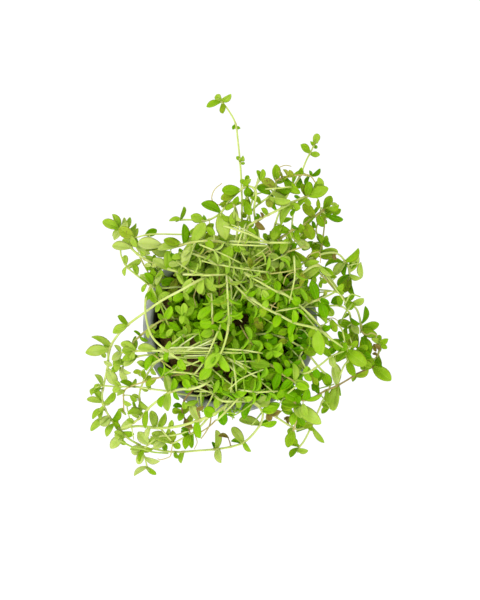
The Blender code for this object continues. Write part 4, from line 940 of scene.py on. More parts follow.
def stem_paint():
    """Fleshy stems: bright yellow-green by tone, straw and brown by age, with a fine grain."""
    paint = Paint("pearlweed_stem")
    tone, age = paint.mark("tone"), paint.mark("age")
    along, joint = paint.mark("along"), paint.mark("joint")
    clouds = paint.noise(190.0)
    grain = paint.noise(3000.0, 2.0)
    shade = (tone + (clouds - 0.5) * 0.5 + (grain - 0.5) * 0.2 - along * 0.12).clamped()
    green = paint.ramp(shade, [(0.0, srgb(104, 144, 8)), (0.45, srgb(150, 184, 44)),
                               (0.8, srgb(204, 218, 120)), (1.0, srgb(223, 232, 168))])
    straw = paint.mix(clouds, srgb(172, 158, 80), srgb(204, 192, 122))
    brown = paint.mix(clouds, srgb(124, 94, 46), srgb(172, 140, 84))
    colour = paint.mix(age.rising(0.1, 0.6), green, straw)
    colour = paint.mix(age.rising(0.65, 1.0), colour, brown)
    colour = paint.mix(joint * (clouds.rising(0.35, 0.6)) * 0.5, colour, srgb(150, 132, 66))
    paint.set(Base_Color=colour, Roughness=0.34 + grain * 0.2, Specular_IOR_Level=0.3,
              Subsurface_Weight=0.25, Subsurface_Radius=(0.8, 1.0, 0.3), Subsurface_Scale=0.0008)
    paint.bump(grain * 0.4 + clouds * 0.5, 0.0001, 0.6)
    return paint.material


def wool_paint():
    """Damp mineral wool: dark brown with paler fibres and darker pits."""
    paint = Paint("growing_wool")
    clouds = paint.noise(240.0, 5.0, 0.65)
    fibres = paint.noise(1800.0, 4.0, 0.7)
    shade = (clouds * 0.65 + fibres * 0.5 - 0.08).clamped()
    colour = paint.ramp(shade, [(0.2, srgb(66, 48, 24)), (0.45, srgb(122, 92, 50)),
                                (0.65, srgb(166, 132, 80)), (0.85, srgb(200, 172, 118))])
    paint.set(Base_Color=colour, Roughness=0.78 + fibres * 0.2, Specular_IOR_Level=0.25)
    paint.bump(fibres + clouds * 0.6, 0.0006, 0.9)
    return paint.material


def plastic_paint():
    """Moulded grey plastic: fine grain, faint flow marks, scuffs, and painted shade that darkens its
    inside.
    """
    paint = Paint("grey_pot_plastic")
    grain = paint.noise(5200.0, 2.0)
    flow = paint.noise(70.0, 4.0)
    scuffs = paint.noise(900.0, 6.0, 0.75).rising(0.62, 0.72)
    shade = (flow * 0.5 + grain * 0.12 + scuffs * 0.3).clamped()
    grey = paint.ramp(shade, [(0.1, srgb(142, 145, 146)), (0.45, srgb(164, 167, 167)),
                              (0.8, srgb(190, 192, 192))])
    # Painted shade: the inside wall below the lip is painted near black
    colour = paint.mix(paint.mark("stain"), grey, srgb(38, 38, 39))
    paint.set(Base_Color=colour, Roughness=0.38 + grain * 0.14 + scuffs * 0.22)
    paint.bump(grain * 0.5 + scuffs * 0.35 + flow * 0.6, 0.00006, 0.7)
    return paint.material


def floor_paint():
    """A matt floor, faintly mottled, that glows so that it looks white with only a faint shadow."""
    paint = Paint("pale_floor")
    mottle = paint.noise(12.0, 2.0)
    colour = paint.mix(mottle, srgb(108, 108, 108), srgb(112, 112, 112))
    paint.set(Base_Color=colour, Roughness=0.9, Specular_IOR_Level=0.0,
              Emission_Color=(1.0, 1.0, 1.0, 1.0), Emission_Strength=0.92)
    return paint.material


def link_piece(name, mesh, paints):
    """A new piece of that mesh in the scene, with its paints."""
    piece = bpy.data.objects.new(name, mesh)
    bpy.context.scene.collection.objects.link(piece)
    for paint in paints:
        mesh.materials.append(paint)
    return piece


def plan_mm(px, py):
    """A place in the view from above, as millimetres from the pot's axis."""
    return (px - RIM_CENTRE_PX[0]) * MM_PER_PX, (RIM_CENTRE_PX[1] - py) * MM_PER_PX


def smooth_points(points):
    """Points along a smooth curve through the given ones."""
    knots = [points[0] * 2 - points[1], *points, points[-1] * 2 - points[-2]]
    curve = []
    for a, b, c, d in zip(knots, knots[1:], knots[2:], knots[3:]):
        for k in range(CURVE_STEPS):
            t = k / CURVE_STEPS
            curve.append(0.5 * ((2 * b) + (c - a) * t + (2 * a - 5 * b + 4 * c - d) * t * t
                                + (3 * b - a - 3 * c + d) * t ** 3))
    curve.append(points[-1])
    return np.array(curve)


def lengths_along(curve):
    steps = np.linalg.norm(np.diff(curve, axis=0), axis=1)
    return np.concatenate([[0.0], np.cumsum(steps)])


def even_points(curve, spacing):
    """The same curve with points about one spacing apart."""
    along = lengths_along(curve)
    count = max(3, round(along[-1] / spacing) + 1)
    wanted = np.linspace(0.0, along[-1], count)
    return np.stack([np.interp(wanted, along, curve[:, axis]) for axis in range(3)], axis=1)


def traced_curve(traced):
    return smooth_points([np.array([*plan_mm(px, py), height]) for px, py, height in traced])


class Contacts:
    """Samples along every stem, and which of them lie close to each other in plan."""

    def __init__(self, routes, radii):
        self.knot, self.share, self.plan, self.radius, self.owner, self.slope = [], [], [], [], [], []
        start = 0
        for owner, (route, radius) in enumerate(zip(routes, radii)):
            for k, (a, b) in enumerate(zip(route, route[1:])):
                span = np.linalg.norm(b - a)
                flat = max(np.linalg.norm((b - a)[:2]), span / STEEPEST_CONTACT)
                count = max(2, math.ceil(span / CONTACT_SPACING))
                for j in range(count + 1):
                    self.knot.append(start + k)
                    self.share.append(j / count)
                    self.plan.append((a + (b - a) * j / count)[:2])
                    self.radius.append(radius)
                    self.owner.append(owner)
                    self.slope.append(span / flat)
            start += len(route)
        self.knot, self.share = np.array(self.knot), np.array(self.share)
        self.plan, self.radius = np.array(self.plan), np.array(self.radius)
        self.owner, self.slope = np.array(self.owner), np.array(self.slope)

    def heights(self, z):
        return z[self.knot] * (1 - self.share) + z[self.knot + 1] * self.share

    def pairs(self, z):
        """Index pairs that must stay apart, the gap each needs, and which one is on top."""
        first, second, need = [], [], []
        now = self.heights(z)
        for i in range(len(self.plan)):
            flat = np.linalg.norm(self.plan[i + 1:] - self.plan[i], axis=1)
            apart = self.radius[i + 1:] + self.radius[i] + STEM_GAP
            near = np.maximum(flat - CONTACT_SPACING / 2, 0.0)
            hit = np.nonzero((near < apart) & (self.owner[i + 1:] != self.owner[i]))[0]
            for j in hit:
                first.append(i)
                second.append(i + 1 + j)
                clear = math.sqrt(apart[j] ** 2 - near[j] ** 2)
                need.append(clear * max(self.slope[i], self.slope[i + 1 + j]))
        first, second = np.array(first), np.array(second)
        sides = self.upper_sides(first, second, now)
        over = [sides[i, j] for i, j in zip(first, second)]
        return first, second, np.array(need), np.array(over)

    def upper_sides(self, first, second, now):
        """For each pair, 1 if the first stem passes over the second there and -1 if under.

        One meeting of two stems is a run of samples, and the whole run takes one side."""
        meetings = {}
        for i, j in zip(first, second):
            runs = meetings.setdefault((self.owner[i], self.owner[j]), [])
            if not runs or i - runs[-1][-1][0] > MEETING_BREAK:
                runs.append([])
            runs[-1].append((i, j))
        sides = {}
        for runs in meetings.values():
            for run in runs:
                higher = np.mean([now[i] - now[j] for i, j in run])
                for pair in run:
                    sides[pair] = 1.0 if higher >= 0 else -1.0
        return sides

    def least_heights(self):
        """The lowest free height over the wool, the rim and the surface outside."""
        out = np.linalg.norm(self.plan, axis=1)
        least = np.full(len(out), STEM_GAP)
        least[out < RIM_ZONE[1]] = POT_HEIGHT + STEM_GAP
        least[out < RIM_ZONE[0]] = PLUG_TOP + STEM_GAP / 2
        return least + self.radius


def lay_over_one_another(routes, radii):
    """Lifts and lowers the stems until each passes over or under its neighbours."""
    contacts = Contacts(routes, radii)
    z = np.concatenate([route[:, 2] for route in routes])
    starts = np.cumsum([0] + [len(route) for route in routes])
    roots = starts[:-1]
    inner = np.ones(len(z), bool)
    inner[roots] = False
    inner[starts[1:] - 1] = False
    first, second, need, over = contacts.pairs(z)
    least = contacts.least_heights()
    original = z.copy()
    for lift_round in range(LIFT_ROUNDS):
        now = contacts.heights(z)
        short = np.maximum(need - over * (now[first] - now[second]), 0.0)
        push = np.zeros(len(now))
        pull = np.zeros(len(now))
        rise = short * over / 2
        np.maximum.at(push, first, rise)
        np.minimum.at(pull, first, rise)
        np.maximum.at(push, second, -rise)
        np.minimum.at(pull, second, -rise)
        change = push + pull
        lift = least - now
        change = np.where(lift > 0, np.maximum(change, lift), change)
        up = np.zeros(len(z))
        down = np.zeros(len(z))
        for knot, share in ((contacts.knot, 1 - contacts.share), (contacts.knot + 1, contacts.share)):
            part = change * np.minimum(1.0, share * KNOT_REACH)
            np.maximum.at(up, knot, part)
            np.minimum.at(down, knot, part)
        z = z + LIFT_STEP * (up + down)
        z[roots] = original[roots]
        if lift_round < EASED_ROUNDS:
            moved = z - original
            ease = moved.copy()
            ease[1:-1] = 0.25 * moved[:-2] + 0.5 * moved[1:-1] + 0.25 * moved[2:]
            z[inner] = original[inner] + (1 - EASING) * moved[inner] + EASING * ease[inner]
    laid = []
    for route, start in zip(routes, starts):
        fitted = route.copy()
        fitted[:, 2] = z[start:start + len(route)]
        laid.append(fitted)
    return laid


def fine_route(curve, laid):
    """The traced curve in full, at the heights to which its stem was laid."""
    along = lengths_along(curve)
    share = along / along[-1]
    wanted = np.linspace(0.0, 1.0, max(4, round(along[-1] / FINE_SPACING) + 1))
    heights = smooth_points(list(laid))[:, 2]
    knots = np.linspace(0.0, 1.0, len(heights))
    return np.stack([np.interp(wanted, share, curve[:, 0]), np.interp(wanted, share, curve[:, 1]),
                     np.interp(wanted, knots, heights)], axis=1)


def near_on_route(route, x, y):
    """The point of a stem's route that is nearest in plan to a place."""
    best = None
    for a, b in zip(route, route[1:]):
        step = b - a
        flat = step[0] ** 2 + step[1] ** 2
        t = ((x - a[0]) * step[0] + (y - a[1]) * step[1]) / flat if flat > 0 else 0.0
        spot = a + step * min(1.0, max(0.0, t))
        off = math.hypot(spot[0] - x, spot[1] - y)
        if best is None or off < best[0] - NEARER_BY:
            best = (off, spot)
    return Vector(best[1])


class Foliage:
    """Collects closed stems and blades for one piece, with what their paints read."""

    MARKS = ("tone", "age", "inner", "along", "across", "under", "joint")

    def __init__(self):
        self.points = []
        self.faces = []
        self.kinds = []
        self.marks = {name: [] for name in self.MARKS}

    def add_skin(self, rings, ends, kind, marks):
        """A closed skin over rings of points; ends are the points that close it.

        Each mark is one number, or a list with one for each point of each ring."""
        start = len(self.points)
        sides = len(rings[0])
        for ring in rings:
            self.points.extend(ring)
        self.points.extend(ends)
        count = len(rings) * sides
        for name in self.MARKS:
            value = marks.get(name, 0.0)
            if isinstance(value, list):
                self.marks[name].extend(value + [value[0], value[-1]])
            else:
                self.marks[name].extend([value] * (count + 2))
        faces = []
        for k in range(len(rings) - 1):
            low, high = start + k * sides, start + (k + 1) * sides
            for j in range(sides):
                n = (j + 1) % sides
                faces.append((low + j, low + n, high + n, high + j))
        foot, tip = start + count, start + count + 1
        last = start + count - sides
        for j in range(sides):
            n = (j + 1) % sides
            faces.append((foot, start + n, start + j))
            faces.append((tip, last + j, last + n))
        self.faces.extend(faces)
        self.kinds.extend([kind] * len(faces))

    def piece(self, name, paints):
        mesh = bpy.data.meshes.new(name)
        mesh.from_pydata([tuple(c * MM for c in p) for p in self.points], [], self.faces)
        for mark in self.MARKS:
            layer = mesh.attributes.new(mark, "FLOAT", "POINT")
            layer.data.foreach_set("value", self.marks[mark])
        mesh.polygons.foreach_set("material_index", self.kinds)
        mesh.shade_smooth()
        mesh.update()
        return link_piece(name, mesh, paints)


def add_stem(foliage, line, radii, letters, joints=None, sides=STEM_SIDES):
    """A round stem along the line, with a radius at each of its points.

    Its letters are its tone at the start and at the end."""
    (tone, age), (end_tone, end_age) = TONES[letters[0]], TONES[letters[-1]]
    tangents = np.gradient(line, axis=0)
    side = Vector(tangents[0]).orthogonal().normalized()
    rings = []
    marks = {"tone": [], "age": [], "along": [], "joint": []}
    for k, (spot, tangent, radius) in enumerate(zip(line, tangents, radii)):
        forward = Vector(tangent).normalized()
        side = (side - forward * side.dot(forward)).normalized()
        other = forward.cross(side)
        ring = []
        for j in range(sides):
            turn = 2 * math.pi * j / sides
            ring.append(Vector(spot) + (side * math.cos(turn) + other * math.sin(turn)) * radius)
        rings.append(ring)
        share = k / (len(line) - 1)
        marks["tone"] += [tone + (end_tone - tone) * share] * sides
        marks["age"] += [age + (end_age - age) * share] * sides
        marks["along"] += [share] * sides
        marks["joint"] += [0.0 if joints is None else float(joints[k])] * sides
    first = Vector(line[0]) - Vector(tangents[0]).normalized() * radii[0] * STEM_ENDS[0]
    last = Vector(line[-1]) + Vector(tangents[-1]).normalized() * radii[-1] * STEM_ENDS[1]
    foliage.add_skin(rings, [first, last], STEM, marks)


def blade_rings(base, along, side, face, curl, chance):
    """Rings of a thin leaf: folded along its sunk midrib, arched, and a little twisted."""
    length, width = along.length, side.length
    fullness, pointedness = chance.uniform(*FULLNESS), chance.uniform(*POINTEDNESS)
    cup, fold = chance.uniform(*CUP) * curl, chance.uniform(*FOLD)
    arch, twist = chance.uniform(*ARCH) * curl, chance.uniform(-TWIST, TWIST)
    rings = []
    for k in range(BLADE_STATIONS):
        share = (1 - math.cos(math.pi * (k + STATION_START) / (BLADE_STATIONS - STATION_TRIM))) / 2
        spread = max(STALK_WIDTH, math.sin(math.pi * share ** fullness) ** pointedness)
        middle = base + along * share + face * (arch * length * 4 * share * (1 - share))
        turn = twist * (share - TWIST_CENTRE)
        out = side * math.cos(turn) + face * (width * math.sin(turn))
        up = face * math.cos(turn) - side.normalized() * math.sin(turn)
        ring = []
        for across, under in [(v, 0.0) for v in TOP_ACROSS] + [(v, 1.0) for v in UNDER_ACROSS]:
            rise = width * spread * (cup * across * across + fold * abs(across))
            rise -= MIDRIB_DEPTH * width * math.exp(-(across / MIDRIB_WIDTH) ** 2) * (1 - share)
            rise -= under * BLADE_THICKNESS * (1 - TIP_THINNING * share)
            ring.append(middle + out * (spread * across) + up * rise)
        rings.append(ring)
    return rings


def blade_marks(tone, age, inner):
    """What the leaf paint reads at each point of a blade's rings."""
    along, across, under = [], [], []
    for k in range(BLADE_STATIONS):
        along += [k / (BLADE_STATIONS - 1)] * (len(TOP_ACROSS) + len(UNDER_ACROSS))
        across += [*TOP_ACROSS, *UNDER_ACROSS]
        under += [0.0] * len(TOP_ACROSS) + [1.0] * len(UNDER_ACROSS)
    return {"tone": tone, "age": age, "inner": inner, "along": along, "across": across, "under": under}


def share_between(value, low, high):
    """0 up to low, 1 from high on, and straight between them."""
    return min(1.0, max(0.0, (value - low) / (high - low)))


def add_blade(foliage, base, along, side, face, tone, age, chance):
    """One leaf; a withered one curls more."""
    curl = 1.0 + WITHERED_CURL * max(0.0, age - WITHERED_FROM)
    rings = blade_rings(base, along, side, face, curl, chance)
    # Painted light and shade: the tone is lifted to the west and in the north band and lowered to the east
    # and low down, and deep leaves get the vivid green of light that has passed through the leaves above;
    # to the west the paler tone is partly paler leaves too
    paler = PALER_WEST * share_between(-base.x, *WEST_ZONE)
    tone = min(1.0, max(0.0, tone + paler + chance.uniform(-TONE_SPREAD, TONE_SPREAD)))
    inner = 1 - share_between(math.hypot(base.x - VIVID_CENTRE[0], base.y - VIVID_CENTRE[1]), *VIVID_ZONE)
    inner *= 1 - DULL_TOP * share_between(base.z, *TOP_ZONE)
    if math.hypot(base.x, base.y) < CROWDED_RADIUS:
        inner = max(inner, 1 - share_between(base.z, *VIVID_DEPTH))
        tone += PALER_NORTH * share_between(base.y, *NORTH_ZONE) * share_between(-base.x, *MIDDLE_ZONE)
        tone -= DEEPER_EAST * share_between(base.x, *EAST_ZONE) * share_between(-base.y, *SOUTH_ZONE)
        tone -= DEEPER_LOW * (1 - share_between(base.z, *LOW_ZONE))
    else:
        inner *= 1 - DULL_PALE * share_between(tone, *PALE_TONES)
    foliage.add_skin(rings, [base, base + along], LEAF, blade_marks(tone, age, inner))


class Crowd:
    """What has been placed so far, so that the next stem or blade can be moved clear of it."""

    def __init__(self):
        self.trees, self.centres, self.reaches = [], [], []
        self.stem_points = []

    def add(self, outline):
        self.trees.append(outline[0])
        self.centres.append(outline[1])
        self.reaches.append(outline[2])

    def add_stem(self, line, radius):
        outline = stem_outline(line, radius)
        self.add(outline)
        self.stem_points.extend(line[line[:, 2] > ROOT_ZONE])
        return outline

    def nearest_stem(self, spot):
        """Where a root at that spot grows from: the stem nearest to it in plan, then in height."""
        points = np.array(self.stem_points)
        away = np.abs(points - spot) * (PLAN_FIRST, PLAN_FIRST, 1.0)
        return points[np.argmin(away.sum(axis=1))]

    def covers_stem(self, outline, height):
        """Whether a leaf at that height would hide one of the stems from above."""
        _, centre, reach = outline
        points = np.array(self.stem_points)
        away = np.linalg.norm(points[:, :2] - centre[:2], axis=1)
        return bool(np.any((away < reach * COVER_SHARE) & (points[:, 2] < height + COVER_GAP)))

    def clashes(self, outline, own_stem=None):
        """How many of the placed outlines this one cuts into, apart from its own stem."""
        tree, centre, reach = outline
        own_tree = own_stem[0] if own_stem else None
        apart = np.linalg.norm(np.array(self.centres) - centre, axis=1)
        near = np.nonzero(apart < np.array(self.reaches) + reach)[0]
        return sum(bool(tree.overlap(self.trees[k])) for k in near if self.trees[k] is not own_tree)


def outline_of(base, along, side):
    """A flat seven-cornered outline of a leaf, a little way out from its stem."""
    corners = [base + along * share + side * spread for share, spread in OUTLINE_PLACES]
    centre = base + along / 2
    tree = BVHTree.FromPolygons([tuple(c) for c in corners], [tuple(range(len(corners)))])
    return tree, np.array(centre), along.length / 2 + OUTLINE_MARGIN


def stem_outline(line, radius):
    """A four-sided tube round a stem, for finding what would cut into it."""
    corners, faces = [], []
    offsets = [(radius, 0, 0), (0, 0, radius), (-radius, 0, 0), (0, 0, -radius)]
    flip = [(0, radius, 0), (0, 0, radius), (0, -radius, 0), (0, 0, -radius)]
    for k, spot in enumerate(line):
        step = line[min(k + 1, len(line) - 1)] - line[max(k - 1, 0)]
        for offset in (flip if abs(step[0]) > abs(step[1]) else offsets):
            corners.append(tuple(spot + np.array(offset)))
    for k in range(len(line) - 1):
        for j in range(4):
            n = (j + 1) % 4
            faces.append((4 * k + j, 4 * k + n, 4 * k + 4 + n, 4 * k + 4 + j))
    centre = (line.min(axis=0) + line.max(axis=0)) / 2
    reach = np.linalg.norm(line - centre, axis=1).max() + radius
    return BVHTree.FromPolygons(corners, faces), centre, reach


def leaf_sides(along, width):
    """Side and face directions of a leaf; one that looks narrow from above is rolled."""
    side = Vector((-along.y, along.x, 0.0)).normalized()
    face = along.cross(side).normalized()
    grown = max(width, WIDTH_TO_LENGTH * along.length)
    roll = math.acos(min(1.0, width / grown)) * ROLL_SHARE
    rolled = side * math.cos(roll) + face * math.sin(roll)
    return rolled * grown / 2, along.cross(rolled).normalized()


def place_leaf(foliage, crowd, route, own_stem, leaf, order, chance):
    """One traced leaf: on the stem, or on a short stalk where its base is away from it."""
    base_px, base_py, tip_px, tip_py, width_px, letter = leaf
    tone, age = TONES[letter]
    foot_x, foot_y = plan_mm(base_px, base_py)
    joint = near_on_route(route, foot_x, foot_y)
    tip_x, tip_y = plan_mm(tip_px, tip_py)
    flat = math.hypot(tip_x - joint.x, tip_y - joint.y)
    foreshortened = math.sqrt(max(0.0, GROWN_LEAF ** 2 - flat ** 2))
    rise = min(foreshortened, STEEPEST_LEAF * flat) * (1.0 if order % 2 else DROOP_SHARE)
    gap = math.hypot(foot_x - joint.x, foot_y - joint.y)
    best = None
    for tilt in TRIED_TILTS:
        tip = Vector((tip_x, tip_y, max(joint.z + rise + tilt, LOWEST_TIP)))
        base = joint
        if gap > FAR_FROM_STEM:
            base = Vector((foot_x, foot_y, joint.z + (tip.z - joint.z) * gap / (gap + flat)))
        along = tip - base
        base = base - along.normalized() * LEAF_OVERRUN
        along = tip - base
        side, face = leaf_sides(along, width_px * MM_PER_PX)
        outline = outline_of(base, along, side)
        count = crowd.clashes(outline, own_stem)
        if best is None or count < best[0]:
            best = (count, base, along, side, face, outline)
        if count == 0:
            break
    _, base, along, side, face, outline = best
    crowd.add(outline)
    add_blade(foliage, base, along, side, face, tone, age, chance)
    if gap > FAR_FROM_STEM:
        middle = (joint + base) / 2 + Vector((0, 0, STALK_RISE))
        line = np.array([joint, middle, base + along * STALK_OVERLAP])
        radii = [STALK_THICKNESS / slimming for slimming in STALK_SLIMMING]
        add_stem(foliage, line, radii, "p" if age < WITHERED_FROM else letter, sides=STALK_SIDES)
    return joint


def stem_radii(route, thickness, joints):
    """Radius along a stem: it thins to its end, and swells where leaves join it."""
    along = lengths_along(route)
    slimmed = min(thickness, SLIMMING[0] + SLIMMING[1] * thickness)
    radii = slimmed / 2 * (1 - STEM_TAPER * along / along[-1])
    swell = np.zeros(len(route))
    for joint in joints:
        away = np.linalg.norm(route - np.array(joint), axis=1)
        swell = np.maximum(swell, np.exp(-(away / JOINT_REACH) ** 2))
    return radii * (1 + JOINT_SWELL * swell), swell


def add_bud(foliage, route, chance):
    """The youngest leaves at a shoot's tip: two pairs, a quarter turn apart."""
    end = Vector(route[-1])
    forward = (end - Vector(route[-2])).normalized()
    side = forward.orthogonal().normalized()
    for k in range(4):
        turn = Matrix.Rotation(math.pi / 2 * k + chance.uniform(-BUD_TURN, BUD_TURN), 3, forward)
        out = turn @ side
        along = (out * BUD_SPREAD[k % 2] + forward).normalized() * BUD_LEAF * BUD_SIZES[k % 2]
        across = forward.cross(out).normalized() * along.length * BUD_LEAF_WIDTH
        face = along.cross(across).normalized()
        add_blade(foliage, end - forward * BUD_SINK, along, across, face, BUD_TONE, 0.0, chance)


def grow_shoot(foliage, crowd, thickness, route, leaves, letters, own_stem, chance):
    """A stem with its leaves, the swellings where they join it, and the bud at its end."""
    joints = [place_leaf(foliage, crowd, route, own_stem, leaf, order, chance)
              for order, leaf in enumerate(leaves)]
    radii, swell = stem_radii(route, thickness, joints)
    add_stem(foliage, route, radii, letters, swell)
    end = Vector(route[-1])
    if letters[-1] != "b" and any((joint - end).length < TIP_REACH for joint in joints):
        add_bud(foliage, route, chance)


def further_leaves(routes):
    """The further leaves of each shoot: those whose base it passes nearest to."""
    shares = [[] for _ in routes]
    for leaf in FURTHER_LEAVES:
        base = np.array(plan_mm(*leaf[:2]))
        away = [np.linalg.norm(route[:, :2] - base, axis=1).min() for route in routes]
        shares[int(np.argmin(away))].append(leaf)
    return shares


def build_shoots(paints, crowd):
    """Every traced shoot, in place of its plain solid."""
    radii = [thickness / 2 for _, thickness, _, _ in SHOOTS]
    curves = [traced_curve(traced) for _, _, traced, _ in SHOOTS]
    laid = lay_over_one_another([even_points(curve, ROUTE_SPACING) for curve in curves], radii)
    routes = [fine_route(curve, heights) for curve, heights in zip(curves, laid)]
    outlines = [crowd.add_stem(route, radius) for route, radius in zip(routes, radii)]
    more = further_leaves(routes)
    for k, (name, thickness, _, leaves) in enumerate(SHOOTS):
        foliage = Foliage()
        grow_shoot(foliage, crowd, thickness, routes[k], leaves + more[k], STEM_TONES.get(name, "p"),
                   outlines[k], random.Random(name))
        piece = foliage.piece(name + "_grown", paints)
        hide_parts(name)
        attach(piece, "root")


def fine_stem_route(traced, height):
    """A level route at that height, with both its ends bent down among the shoots."""
    points = [np.array([*plan_mm(px, py), height]) for px, py in traced]
    first = (points[0] - points[1]) / np.linalg.norm(points[0] - points[1])
    last = (points[-1] - points[-2]) / np.linalg.norm(points[-1] - points[-2])
    down = np.array([0.0, 0.0, -END_DIP])
    points = [points[0] + first * END_RUN + down, *points, points[-1] + last * END_RUN + down]
    return even_points(smooth_points(points), FINE_SPACING)


def add_fine_pairs(foliage, crowd, route, own_stem, chance):
    """Small pairs of leaves along a fine stem, where it lies over the pot and there is room."""
    joints = []
    for k in range(chance.randrange(PAIR_START, PAIR_START + PAIR_STEP), len(route) - 2, PAIR_STEP):
        joint = Vector(route[k])
        if math.hypot(joint.x, joint.y) > PAIR_ZONE:
            continue
        forward = Vector(route[k + 1] - route[k - 1]).normalized()
        length = chance.uniform(*PAIR_LEAF)
        tone = chance.uniform(*PAIR_TONE)
        turn = chance.uniform(-PAIR_TILT, PAIR_TILT)
        for half in range(2):
            out = Vector((-forward.y, forward.x, turn)).normalized() * (1 if half else -1)
            out.z = abs(out.z)
            if low_leaf(foliage, crowd, joint, forward, out, length, tone, chance, own_stem):
                joints.append(joint)
    return joints


def build_fine_stems(paints, crowd):
    """The fine stems, each lifted or lowered to where it cuts into the least."""
    for name, stems in FINE_STEMS.items():
        foliage = Foliage()
        chance = random.Random(name)
        for thickness, letter, height, traced in stems:
            route = fine_stem_route(traced, height)
            tries = []
            for lift in TRIED_LIFTS:
                lifted = route + np.array([0.0, 0.0, lift])
                tries.append((crowd.clashes(stem_outline(lifted, thickness / 2)), abs(lift), lift))
                if tries[-1][0] == 0:
                    break
            route = route + np.array([0.0, 0.0, min(tries)[2]])
            outline = crowd.add_stem(route, thickness / 2)
            joints = add_fine_pairs(foliage, crowd, route, outline, chance)
            radii, swell = stem_radii(route, thickness * FINE_SLIMMING, joints)
            add_stem(foliage, route, radii, letter, swell)
        piece = foliage.piece(name, paints)
        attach(piece, "root")


def build_loose_bits(paints, crowd):
    """The loose roots and withered bits; one that starts near a stem grows from it."""
    for name, bits in LOOSE_BITS.items():
        foliage = Foliage()
        chance = random.Random(name)
        for thickness, letter, traced, *leaves in bits:
            curve = traced_curve(traced)
            stem = crowd.nearest_stem(curve[0])
            if np.linalg.norm((stem - curve[0])[:2]) < ROOT_REACH:
                curve = np.vstack([stem, curve])
            route = even_points(curve, FINE_SPACING)
            outline = crowd.add_stem(route, thickness / 2)
            grow_shoot(foliage, crowd, thickness, route, leaves[0] if leaves else [], letter, outline,
                       chance)
        piece = foliage.piece(name, paints)
        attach(piece, "root")


def over_bare_patch(outline):
    """Whether a leaf would hide one of the patches that stay bare."""
    _, centre, reach = outline
    for px, py, radius in BARE_PATCHES:
        x, y = plan_mm(px, py)
        if math.hypot(centre[0] - x, centre[1] - y) < radius * MM_PER_PX + reach * PATCH_MARGIN:
            return True
    return False


def low_leaf(foliage, crowd, joint, forward, out, length, tone, chance, own_stem=None):
    """One leaf of a low shoot or a fine stem, left out where no tilt takes it clear of the others."""
    for lean in (chance.uniform(*LEAF_LEAN), *TRIED_LEANS):
        along = (out + forward * lean).normalized() * length
        side = forward.cross(out).normalized() * length * chance.uniform(*LOW_LEAF_WIDTH)
        face = along.cross(side).normalized()
        outline = outline_of(joint, along, side)
        tip = joint + along
        inside = math.hypot(tip.x, tip.y) < RIM_DIAMETER / 2 - LIP_WIDTH - RIM_CLEARANCE
        clear = inside or tip.z > POT_HEIGHT + RIM_CLEARANCE
        clear = clear and tip.z > PLUG_TOP + WOOL_CLEARANCE and not over_bare_patch(outline)
        if chance.random() > OVER_STEMS:
            clear = clear and not crowd.covers_stem(outline, max(joint.z, tip.z))
        if clear and crowd.clashes(outline, own_stem) == 0:
            crowd.add(outline)
            age = 0.0 if chance.random() > OLD_SHARE else chance.uniform(*OLD_AGES)
            add_blade(foliage, joint, along, side, face, tone, age, chance)
            return True
    return False


def low_shoot(foliage, crowd, x, y, top, outward, chance):
    """A short upright shoot with crossed pairs of leaves, leaning outward by that much.

    Its stem ends at the highest pair that has grown, and without leaves there is no stem."""
    top += NORTH_RISE * share_between(y, *RISING_ZONE)
    lean = Vector((x / LOW_SPREAD, y / LOW_SPREAD, 0.0)) * outward
    stray = (chance.uniform(-STRAY_LEAN, STRAY_LEAN), chance.uniform(-STRAY_LEAN, STRAY_LEAN), 0.0)
    lean += Vector(stray)
    root = np.array([x, y, PLUG_TOP - ROOT_SINK])
    end = np.array([x + lean.x, y + lean.y, top])
    bow = np.array([chance.uniform(-STRAY_BOW, STRAY_BOW), chance.uniform(-STRAY_BOW, STRAY_BOW), 0.0])
    line = even_points(smooth_points([root, (root + end) / 2 + bow, end]), FINE_SPACING)
    turn = chance.uniform(0, math.pi)
    pairs = max(2, round((top - PLUG_TOP) / LOW_PAIR_SPACING))
    joints = []
    highest = 0
    for k in range(pairs):
        share = 1 - LEAFY_SHARE * k / pairs
        place = max(2, round(share * (len(line) - 1)))
        spot = Vector(line[place])
        forward = Vector(line[-1] - line[0]).normalized()
        length = chance.uniform(*LOW_LEAF) * (TOP_LEAF_SIZE if k == 0 else 1.0)
        # Painted shade: the lower a pair, the deeper its tone
        tone = LOW_TONE + LOW_TONE_RISE * (spot.z - PLUG_TOP) / (LOW_HEIGHTS[1] - PLUG_TOP)
        tone += chance.uniform(*LOW_TONE_SPREAD)
        grown = False
        for half in range(2):
            angle = turn + math.pi / 2 * k + math.pi * half + chance.uniform(-PAIR_TURN, PAIR_TURN)
            out = Vector((math.cos(angle), math.sin(angle), 0.0))
            out = (out - forward * out.dot(forward)).normalized()
            grown |= low_leaf(foliage, crowd, spot, forward, out, length, tone, chance)
        if grown:
            joints.append(spot)
            highest = max(highest, place)
    thickness = chance.uniform(*LOW_THICKNESS)
    if joints:
        line = line[:highest + 1]
        radii, swell = stem_radii(line, thickness, joints)
        # Painted shade: the low stems, down among the shoots, take the deep tone
        add_stem(foliage, line, radii, "d", swell, sides=STALK_SIDES)


